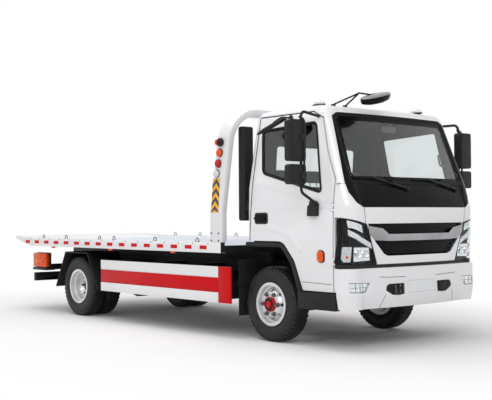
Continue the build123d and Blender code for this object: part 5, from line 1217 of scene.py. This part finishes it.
# Wipers on the windshield
wiperLook = {
    "blades": (((-0.829, 1.658), (-0.308, 1.637)), ((-0.015, 1.647), (0.470, 1.655))),
    "pivots": ((-0.137, 1.552), (0.689, 1.556)), "grips": ((-0.55, 1.652), (0.24, 1.652)),
    "blade": (0.011, 0.016), "spine": (0.005, 0.024), "arm": (0.020, 0.030),
}
glassSkin = skinOf("windshield", "cowl_panel")
squareBead = ((-0.5, -0.05), (-0.5, 0.8), (-0.2, 1), (0.2, 1), (0.5, 0.8), (0.5, -0.05))
raisedBead = ((-0.5, 0.45), (-0.5, 0.9), (-0.2, 1), (0.2, 1), (0.5, 0.9), (0.5, 0.45))
pieces = []
for (start, end), pivot, grip in zip(wiperLook["blades"], wiperLook["pivots"], wiperLook["grips"]):
    path = flatPath((start, end), 0.03)
    pieces.append(skinRibbon("blade", path, "front", glassSkin, "rubberSeal", *wiperLook["blade"],
                             closed=False, profile=squareBead))
    pieces.append(skinRibbon("blade_spine", path, "front", glassSkin, "blackPlastic", *wiperLook["spine"],
                             closed=False, profile=squareBead))
    path = flatPath((pivot, grip), 0.04)
    pieces.append(skinRibbon("wiper_arm", path, "front", glassSkin, "blackPlastic", *wiperLook["arm"],
                             closed=False, profile=raisedBead))
    spot, way = touch(glassSkin, "front", *pivot)
    profile = [(0, -0.002), (0.024, -0.002), (0.022, 0.020), (0.014, 0.034), (0, 0.036)]
    pieces.append(lathe("wiper_pivot", profile, spot, way, "blackPlastic", 20))
    spot, way = touch(glassSkin, "front", *grip)
    profile = [(0, 0.006), (0.012, 0.006), (0.012, 0.026), (0.008, 0.032), (0, 0.033)]
    pieces.append(lathe("wiper_clip", profile, spot, way, "blackPlastic", 14))
fitted(joined("wipers", pieces), "chassis")
print("wipers")

# Mirrors: reflecting glass on their rear faces, clamps on the tubes, a kerb mirror over the right door
mirrorLook = {"centreY": 1.290, "half": 0.088, "main": (1.832, 2.193), "wide": (1.610, 1.770), "bend": 0.02,
              "armY": 1.215, "clamps": (2.045, 1.675), "clampHalf": 0.034,
              "kerbCentre": (2.235, 1.062, 2.218), "kerbSize": (0.205, 0.085),
              "kerbFoot": (2.33, 2.285)}
for sideName, side in sides.items():
    mirrorSkin = skinOf(sideName + "_mirror")
    body = sideName + "_door"
    low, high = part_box(sideName + "_mirror")
    middle, half = side * mirrorLook["centreY"], mirrorLook["half"]
    pieces = []
    for bottom, top in (mirrorLook["main"], mirrorLook["wide"]):
        corners = [(middle - half, bottom), (middle + half, bottom), (middle + half, top),
                   (middle - half, top)]
        pieces.append(rounded(skinPlate("mirror_glass", outlineOf(corners, mirrorLook["bend"]), "rear",
                                        mirrorSkin, "mirrorGlass", 0.002, 0.003, 0.04), 0.0008))
    fitted(joined(sideName + "_mirror_glass", pieces), body)
    armY, ahead, behind = side * mirrorLook["armY"], high.x + 0.004, high.x - 0.060
    path = [(behind, armY, 1.575), (ahead, armY, 1.60), (ahead, armY, 2.215), (behind, armY, 2.245)]
    pieces = [tube("mirror_tube", softened(path, 0.03), 0.011, "blackPlastic", 12)]
    for z in mirrorLook["clamps"]:
        size = mirrorLook["clampHalf"]
        y = side * (mirrorLook["armY"] + 0.012)
        x = high.x - 0.035
        pieces.append(block("clamp", (x - 0.012, y - size, z - size), (x + 0.050, y + size, z + size),
                            "blackPlastic", 0.006))
    fitted(joined(sideName + "_mirror_clamps", pieces), body)
    if sideName == "left":
        continue  # only the kerb side has the mirror over its window
    pieces = []
    centre = Vector(mirrorLook["kerbCentre"])
    centre.y *= side
    long, deep = mirrorLook["kerbSize"]
    shell = []
    for angle in anglesOf(28):
        a = math.copysign(abs(math.cos(angle)) ** 0.75, math.cos(angle)) * long
        b = math.copysign(abs(math.sin(angle)) ** 0.75, math.sin(angle)) * deep
        shell.append((a, b))
    layers = ((0.80, 0.020), (0.96, 0.014), (1.0, 0.002), (0.97, -0.010), (0.90, -0.014))
    rings = []
    for share, height in layers:
        scaled = [(a * share, b * share) for a, b in shell]
        rings.append([centre + Vector((x * 0.93, side * (y + 0.035), height + x * 0.30 - y * 0.35 - 0.02))
                      for x, y in scaled])
    pieces.append(closedOut(layered("kerb_mirror", rings, "blackPlastic")))
    foot, way = touch(skinOf(body), sideName, *mirrorLook["kerbFoot"])
    arm = [foot, centre + Vector((0.14, side * 0.03, 0.060)), centre + Vector((0.02, side * 0.03, 0.016))]
    pieces.append(tube("kerb_arm", softened(arm, 0.03), 0.009, "blackPlastic", 10))
    profile = [(0, -0.003), (0.030, -0.003), (0.028, 0.010), (0.018, 0.018), (0, 0.020)]
    pieces.append(lathe("kerb_foot", profile, foot, way, "blackPlastic", 20))
    fitted(joined(sideName + "_kerb_mirror", pieces), body)

# Roof mirror: two struts to a bent arm and an oval head over the windshield
roofLook = {"feet": ((2.700, -0.690), (2.735, -0.560)), "knee": (2.990, -0.625, 2.492), "strut": 0.0085,
            "headCentre": (3.045, -0.450, 2.468), "headSize": (0.112, 0.185), "rise": 0.25, "lean": -0.08,
            "headSides": 36, "shellEdge": 0.004}
roofSkin = skinOf("cab_roof", "cab_front_panel")
knee = Vector(roofLook["knee"])
centre = Vector(roofLook["headCentre"])
pieces = []
for x, y in roofLook["feet"]:
    spot, way = touch(roofSkin, "top", x, y)
    pieces.append(tube("strut", [spot - way * 0.004, spot + Vector((0.02, 0, 0.012)), knee],
                       roofLook["strut"], "blackPlastic", 10))
    profile = [(0, -0.003), (0.026, -0.003), (0.024, 0.008), (0.014, 0.014), (0, 0.015)]
    pieces.append(lathe("strut_foot", profile, spot, way, "blackPlastic", 16))
arm = [knee + Vector((-0.006, -0.006, 0.002)), knee, centre + Vector((-0.01, -0.06, 0.012)),
       centre + Vector((0, 0, 0.020))]
pieces.append(tube("head_arm", arm, roofLook["strut"], "blackPlastic", 10))
layers = ((0.45, 0.026), (0.86, 0.018), (0.97, 0.010), (1.0, 0.000), (0.98, -0.028), (0.90, -0.052),
          (0.60, -0.068))
wide, long = roofLook["headSize"]
rings = []
for share, height in layers:
    spots = [(math.cos(angle) * wide * share, math.sin(angle) * long * share)
             for angle in anglesOf(roofLook["headSides"])]
    rings.append([centre + Vector((a, b, height + b * roofLook["rise"] + a * roofLook["lean"]))
                  for a, b in spots])
head = layered("roof_mirror_head", rings, "mirrorShell")
head.data.materials.append(materials["glossBlack"])
points = [vertex.co for vertex in head.data.vertices]
for polygon in head.data.polygons:
    local = sum((points[i] for i in polygon.vertices), Vector()) / len(polygon.vertices) - centre
    if local.z - local.y * roofLook["rise"] - local.x * roofLook["lean"] < roofLook["shellEdge"]:
        polygon.material_index = 1
pieces.append(closedOut(head))
roofMirror = joined("roof_mirror_dressed", pieces)
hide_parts("roof_mirror")
fitted(roofMirror, "chassis", 50)

# Roof marker lamps, inner mirror and grab handle
markerLook = {"places": ((2.585, -0.775), (2.725, 0.545)), "size": (0.075, 0.036, 0.040), "sides": 20}
pieces = []
for x, y in markerLook["places"]:
    spot, way = touch(roofSkin, "top", x, y)
    long, wide, high = markerLook["size"]
    base = [spot + Vector((math.cos(angle) * long * 1.15, math.sin(angle) * wide * 1.2, 0))
            for angle in anglesOf(markerLook["sides"])]
    rings = [[point + Vector((0, 0, rise)) for point in base] for rise in (-0.006, 0.006)]
    pieces.append(closedOut(layered("marker_base", rings, "blackPlastic")))
    dome = lathe("marker_lens", [(0, 0), (1, 0), (0.96, 0.4), (0.8, 0.75), (0.45, 0.95), (0, 1)], (0, 0, 0),
                 (0, 0, 1), "clearLens", 24)
    for vertex in dome.data.vertices:
        vertex.co = spot + Vector((vertex.co.x * long, vertex.co.y * wide, 0.005 + vertex.co.z * high))
    pieces.append(dome)
fitted(joined("roof_markers", pieces), "chassis")

insideLook = {"mirror": (2.765, 0.056, 2.185), "mirrorSize": (0.012, 0.105, 0.033),
              "handle": ((2.835, 0.865, 1.955), (2.79, 0.835, 1.950), (2.81, 0.845, 1.825),
                         (2.875, 0.870, 1.820)),
              "handleRadius": 0.011}
centre, half = Vector(insideLook["mirror"]), Vector(insideLook["mirrorSize"])
mirror = block("inner_mirror_case", centre - half, centre + half, "pillarTrim", 0.008)
stalk = tube("inner_mirror_stalk", [centre + Vector((0.008, 0, 0.02)), centre + Vector((0.055, 0, 0.085))],
             0.008, "pillarTrim", 10)
fitted(joined("inner_mirror", [mirror, stalk]), "chassis")
handle = tube("grab_handle", softened(insideLook["handle"], 0.03), insideLook["handleRadius"], "pillarTrim",
              10)
fitted(handle, "chassis")
print("mirrors and roof")

# Tail lamps: amber lenses on black housings, with bulbs and a ribbed lower band
tailLook = {"split": 0.40, "edge": 0.012, "lensInset": 0.006, "ribs": 9, "ribRadius": 0.0016,
            "bulbs": (0.26, 0.78), "bulbRadius": 0.022}
pieces = []
for sideName, side in sides.items():
    lows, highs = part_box("tail_lamps")
    near, far = (highs.y - 0.09, highs.y)
    cut = near + (far - near) * tailLook["split"]
    low, high = sorted((side * near, side * cut))
    pieces.append(block("tail_housing", (lows.x, low, lows.z), (highs.x, high, highs.z), "blackPlastic",
                        tailLook["edge"]))
    low, high = sorted((side * (cut - 0.002), side * (far - 0.001)))
    inset = tailLook["lensInset"]
    pieces.append(block("tail_lens", (lows.x + inset, low, lows.z + inset),
                        (highs.x - inset, high, highs.z - inset), "amberLens", tailLook["edge"]))
    face = side * (far - 0.0012)
    long, tall = highs.x - lows.x, highs.z - lows.z
    for share in tailLook["bulbs"]:
        spot = (lows.x + share * long, face, lows.z + 0.42 * tall)
        pieces.append(lathe("tail_bulb", [(0, -0.001), (tailLook["bulbRadius"], -0.001),
                                          (tailLook["bulbRadius"] * 0.9, 0.0008), (0, 0.001)], spot,
                            (0, side, 0), "warnYellow" if share < 0.5 else "redLens", 20))
    rib = tube("rib", [(0, 0, -tall * 0.38), (0, 0, tall * 0.38)], tailLook["ribRadius"], "amberLens", 6)
    first = (lows.x + 0.12 * long, face, (lows.z + highs.z) / 2)
    pieces.append(row("tail_ribs", rib, tailLook["ribs"], first, (0.76 * long / (tailLook["ribs"] - 1), 0, 0),
                      "amberLens"))
tails = joined("tail_lamp_pair", pieces)
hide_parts("tail_lamps")
fitted(tails, "chassis", 50)

# Reflective tape on the rear bar, rivets on the frame rails, straps on the fuel tank
rearLook = {"tapes": 8, "tapeSize": (0.10, 0.045), "level": 0.4725, "rivets": 38, "rivetRadius": 0.008,
            "rivetLevels": (0.775, 0.635), "rivetFrom": -2.52, "rivetPitch": 0.0924,
            "rivetSide": 0.3868}
width, tall = rearLook["tapeSize"]
strips = []
for label, finish, start in (("red", "tapeRed", 0), ("white", "tapeWhite", 1)):
    tile = block("tile", (-0.0012, -width / 2, -tall / 2), (0.001, width / 2, tall / 2), finish, 0.0005, 1)
    strips.append(row(label + "_bar_tape", tile, rearLook["tapes"],
                      (-2.811, -0.94 + start * 0.125, rearLook["level"]), (0, 0.25, 0), finish))
fitted(joined("rear_bar_tape", strips), "chassis")
rivets = []
for side in sides.values():
    size = rearLook["rivetRadius"]
    for level in rearLook["rivetLevels"]:
        rivet = lathe("rivet", [(0, -0.002), (size, -0.002), (size * 0.8, 0.004), (0, 0.006)], (0, 0, 0),
                      (0, side, 0), "castIron", 8)
        first = (rearLook["rivetFrom"], side * rearLook["rivetSide"], level)
        rivets.append(row("rivet_row", rivet, rearLook["rivets"], first, (rearLook["rivetPitch"], 0, 0),
                          "castIron"))
fitted(joined("frame_rivets", rivets), "chassis")
tankLook = {"straps": (0.20, 0.75), "strapWidth": 0.045, "gauge": 0.004, "corner": 0.05}
tankLow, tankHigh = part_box("fuel_tank")
straps = []
for share in tankLook["straps"]:
    x = tankLow.x + share * (tankHigh.x - tankLow.x)
    gauge = tankLook["gauge"]
    outer = [(tankLow.y, tankHigh.z + gauge), (tankHigh.y + gauge, tankHigh.z + gauge),
             (tankHigh.y + gauge, tankLow.z - gauge), (tankLow.y, tankLow.z - gauge)]
    inner = [(tankLow.y, tankHigh.z - gauge), (tankHigh.y - gauge, tankHigh.z - gauge),
             (tankHigh.y - gauge, tankLow.z + gauge), (tankLow.y, tankLow.z + gauge)]
    outer, inner = softPath(outer, tankLook["corner"]), softPath(inner, tankLook["corner"])
    straps.append(prism("strap", outer + inner[::-1], "x", x, x + tankLook["strapWidth"], "blackPaint",
                        0.0015))
fitted(joined("tank_straps", straps), "chassis")
print("tail and frame")

# Seats: padded cushions, pressed out by a cloth simulation, with piped seams
seatLook = {
    # centre y, half width
    "places": {"driver": (0.47, 0.255), "bench": (-0.38, 0.435)},
    "cushion": ((1.99, 2.50), (1.135, 1.235)), "back": ((1.845, 1.935), (1.235, 1.640)),
    "head": ((1.835, 1.905), (1.655, 1.785)), "headHalf": 0.125,
    "voxel": 0.012, "pressure": 4.0, "frames": 14, "cap": 0.016, "round": 0.045, "fill": 0.6,
    "channels": 3, "channelDepth": 0.006, "channelWidth": 0.012,
}


def softForm(name, low, high, corner, finish):
    form = block(name, low, high, finish, corner, 4)
    mesh = form.modifiers.new("Even", "REMESH")
    mesh.mode = "VOXEL"
    mesh.voxel_size = seatLook["voxel"]
    return applied(form)


def swollen(piece, cap):
    before = [v.co.copy() for v in piece.data.vertices]
    cloth = piece.modifiers.new("Press", "CLOTH")
    cloth.settings.use_pressure = True
    cloth.settings.uniform_pressure_force = seatLook["pressure"]
    cloth.settings.effector_weights.gravity = 0
    cloth.settings.quality = 4
    cloth.collision_settings.use_collision = False
    scene = bpy.context.scene
    for step in range(1, seatLook["frames"] + 1):
        scene.frame_set(step)
    graph = bpy.context.evaluated_depsgraph_get()
    after = [v.co.copy() for v in piece.evaluated_get(graph).data.vertices]
    piece.modifiers.clear()
    scene.frame_set(1)
    for vertex, start, end in zip(piece.data.vertices, before, after):
        move = end - start
        vertex.co = start + move * min(1, cap / max(move.length, 0.00001))
    return piece


def sewn(piece, axis, lines, depth, width, way):
    # channels pressed into the face that looks along way
    for vertex, normal in zip(piece.data.vertices, [v.normal.copy() for v in piece.data.vertices]):
        facing = normal.dot(way)
        if facing > 0.2:
            for line in lines:
                near = abs(vertex.co[axis] - line) / width
                if near < 1:
                    vertex.co -= way * depth * facing * (1 - near * near)
    return piece


def seatPads(name, middle, half):
    look = seatLook
    gap = look["cap"] * 0.7
    (x0, x1), (z0, z1) = look["cushion"]
    count = look["channels"] if half < 0.3 else look["channels"] * 2
    lines = [middle - half + 2 * half * (k + 1) / (count + 1) for k in range(count)]
    cushion = softForm(name + "_cushion", (x0 + gap, middle - half + gap, z0),
                       (x1 - gap, middle + half - gap, z1 - gap), look["round"], "seatCloth")
    cushion = sewn(swollen(cushion, look["cap"]), 1, lines, look["channelDepth"], look["channelWidth"],
                   Vector((0, 0, 1)))
    (x0, x1), (z0, z1) = look["back"]
    back = softForm(name + "_back", (x0 + gap * 0.5, middle - half + gap, z0 + gap),
                    (x1 - gap * 0.5, middle + half - gap, z1 - gap), look["round"] * 0.75, "seatCloth")
    back = sewn(swollen(back, look["cap"]), 1, lines, look["channelDepth"], look["channelWidth"],
                Vector((1, 0, 0)))
    heads = [middle] if half < 0.3 else [middle - half / 2, middle + half / 2]
    (x0, x1), (z0, z1) = look["head"]
    pads = [cushion, back]
    for number, y in enumerate(heads):
        head = softForm(f"{name}_head_{number}", (x0, y - look["headHalf"], z0),
                        (x1, y + look["headHalf"], z1), look["round"] * 0.7, "seatCloth")
        pads.append(swollen(head, look["cap"] * 0.5))
    for pad in pads:
        smooth = pad.modifiers.new("Even", "SMOOTH")
        smooth.factor = 0.5
        smooth.iterations = 3
        applied(pad)
        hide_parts("seats")
        fitted(pad, "chassis", 60)
    for y in heads:
        for shift in (-0.05, 0.05):
            post = tube(name + "_post", [((x0 + x1) / 2, y + shift, look["back"][1][1] - 0.02),
                                         ((x0 + x1) / 2, y + shift, z0 + 0.02)], 0.006, "satinSteel", 10)
            pads.append(post)
            fitted(post, "chassis")
    return pads


for name, (middle, half) in seatLook["places"].items():
    pads = seatPads(name, middle, half)
    for number, pad in enumerate(p for p in pads if p.name.endswith("_post") or "_post." in p.name):
        pad.name = f"{name}_post_{number}"
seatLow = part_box("seats")[0]
bases = [block("seat_base", (1.95, middle - half * 0.82, seatLow.z + 0.001),
               (2.44, middle + half * 0.82, 1.140),
               "dashPlastic", 0.012) for middle, half in seatLook["places"].values()]
seatBases = joined("seat_bases", bases)
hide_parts("seats")
fitted(seatBases, "chassis")
print("seats")

# Floor, backdrop and soft light
studio = {"floorSize": 90, "floorColor": (0.93, 0.93, 0.93), "floorGlow": 0.02, "fadeFrom": 2.3,
          "fadeTo": 4.8, "skyLight": 0.56,
          "keyPower": 550, "keySize": (7, 5), "keyPlace": (11, -9, 9), "keyAim": (0.6, 0, 1),
          "topPower": 355, "topSize": (9, 5), "topPlace": (-1, -2, 8.5), "topAim": (0, 0, 1)}


def backdropView(tree):
    # 1 for rays from the camera, a reflection or a pane, 0 for the light that falls on the truck
    path = tree.nodes.new("ShaderNodeLightPath")
    seen = tree.nodes.new("ShaderNodeMath")
    seen.operation = "ADD"
    through = tree.nodes.new("ShaderNodeMath")
    through.operation = "ADD"
    through.use_clamp = True
    wire(tree, (path, "Is Camera Ray", seen, 0), (path, "Is Glossy Ray", seen, 1),
         (seen, "Value", through, 0), (path, "Is Transmission Ray", through, 1))
    return through


def addFloor(look):
    half = look["floorSize"] / 2
    corners = [(-half, -half, 0), (half, -half, 0), (half, half, 0), (-half, half, 0)]
    floor = meshPiece("StudioFloor", corners, [(0, 1, 2, 3)], "tapeWhite")
    material, tree, shader = newMaterial("studioFloor")
    shader.inputs["Base Color"].default_value = (*look["floorColor"], 1)
    shader.inputs["Roughness"].default_value = 0.9
    shader.inputs["Specular IOR Level"].default_value = 0.1
    place = tree.nodes.new("ShaderNodeTexCoord")
    squeeze = tree.nodes.new("ShaderNodeMapping")
    squeeze.inputs["Scale"].default_value = (0.72, 1, 1)
    far = tree.nodes.new("ShaderNodeVectorMath")
    far.operation = "LENGTH"
    fade = tree.nodes.new("ShaderNodeMapRange")
    fade.interpolation_type = "SMOOTHSTEP"
    fade.inputs["From Min"].default_value = look["fadeFrom"]
    fade.inputs["From Max"].default_value = look["fadeTo"]
    fade.inputs["To Min"].default_value = look["floorGlow"]
    visible = tree.nodes.new("ShaderNodeMath")
    visible.operation = "MULTIPLY"
    glow = tree.nodes.new("ShaderNodeEmission")
    mix = tree.nodes.new("ShaderNodeMixShader")
    wire(tree, (place, "Object", squeeze, "Vector"), (squeeze, "Vector", far, 0),
         (far, "Value", fade, "Value"),
         (fade, "Result", visible, 0), (backdropView(tree), "Value", visible, 1),
         (visible, "Value", mix, "Fac"), (shader, "BSDF", mix, 1), (glow, "Emission", mix, 2),
         (mix, "Shader", tree.nodes["Material Output"], "Surface"))
    floor.data.materials[0] = material


def addLamp(name, power, size, place, aim):
    data = bpy.data.lights.new(name, "AREA")
    data.shape = "RECTANGLE"
    data.size, data.size_y = size
    data.energy = power
    lamp = placed(name, data)
    lamp.location = place
    lamp.rotation_mode = "QUATERNION"
    lamp.rotation_quaternion = (Vector(aim) - Vector(place)).to_track_quat("-Z", "Y")


def addSky(strength):
    world = bpy.data.worlds.new("Studio")
    bpy.context.scene.world = world
    world.use_nodes = True
    tree = world.node_tree
    sky = tree.nodes["Background"]
    level = tree.nodes.new("ShaderNodeMapRange")
    level.inputs["To Min"].default_value = strength
    level.inputs["To Max"].default_value = 1
    wire(tree, (backdropView(tree), "Value", level, "Value"), (level, "Result", sky, "Strength"))
    sky.inputs["Color"].default_value = (1, 1, 1, 1)


addFloor(studio)
addLamp("KeyLight", studio["keyPower"], studio["keySize"], studio["keyPlace"], studio["keyAim"])
addLamp("TopLight", studio["topPower"], studio["topSize"], studio["topPlace"], studio["topAim"])
addSky(studio["skyLight"])
bpy.context.scene.view_settings.view_transform = "Standard"
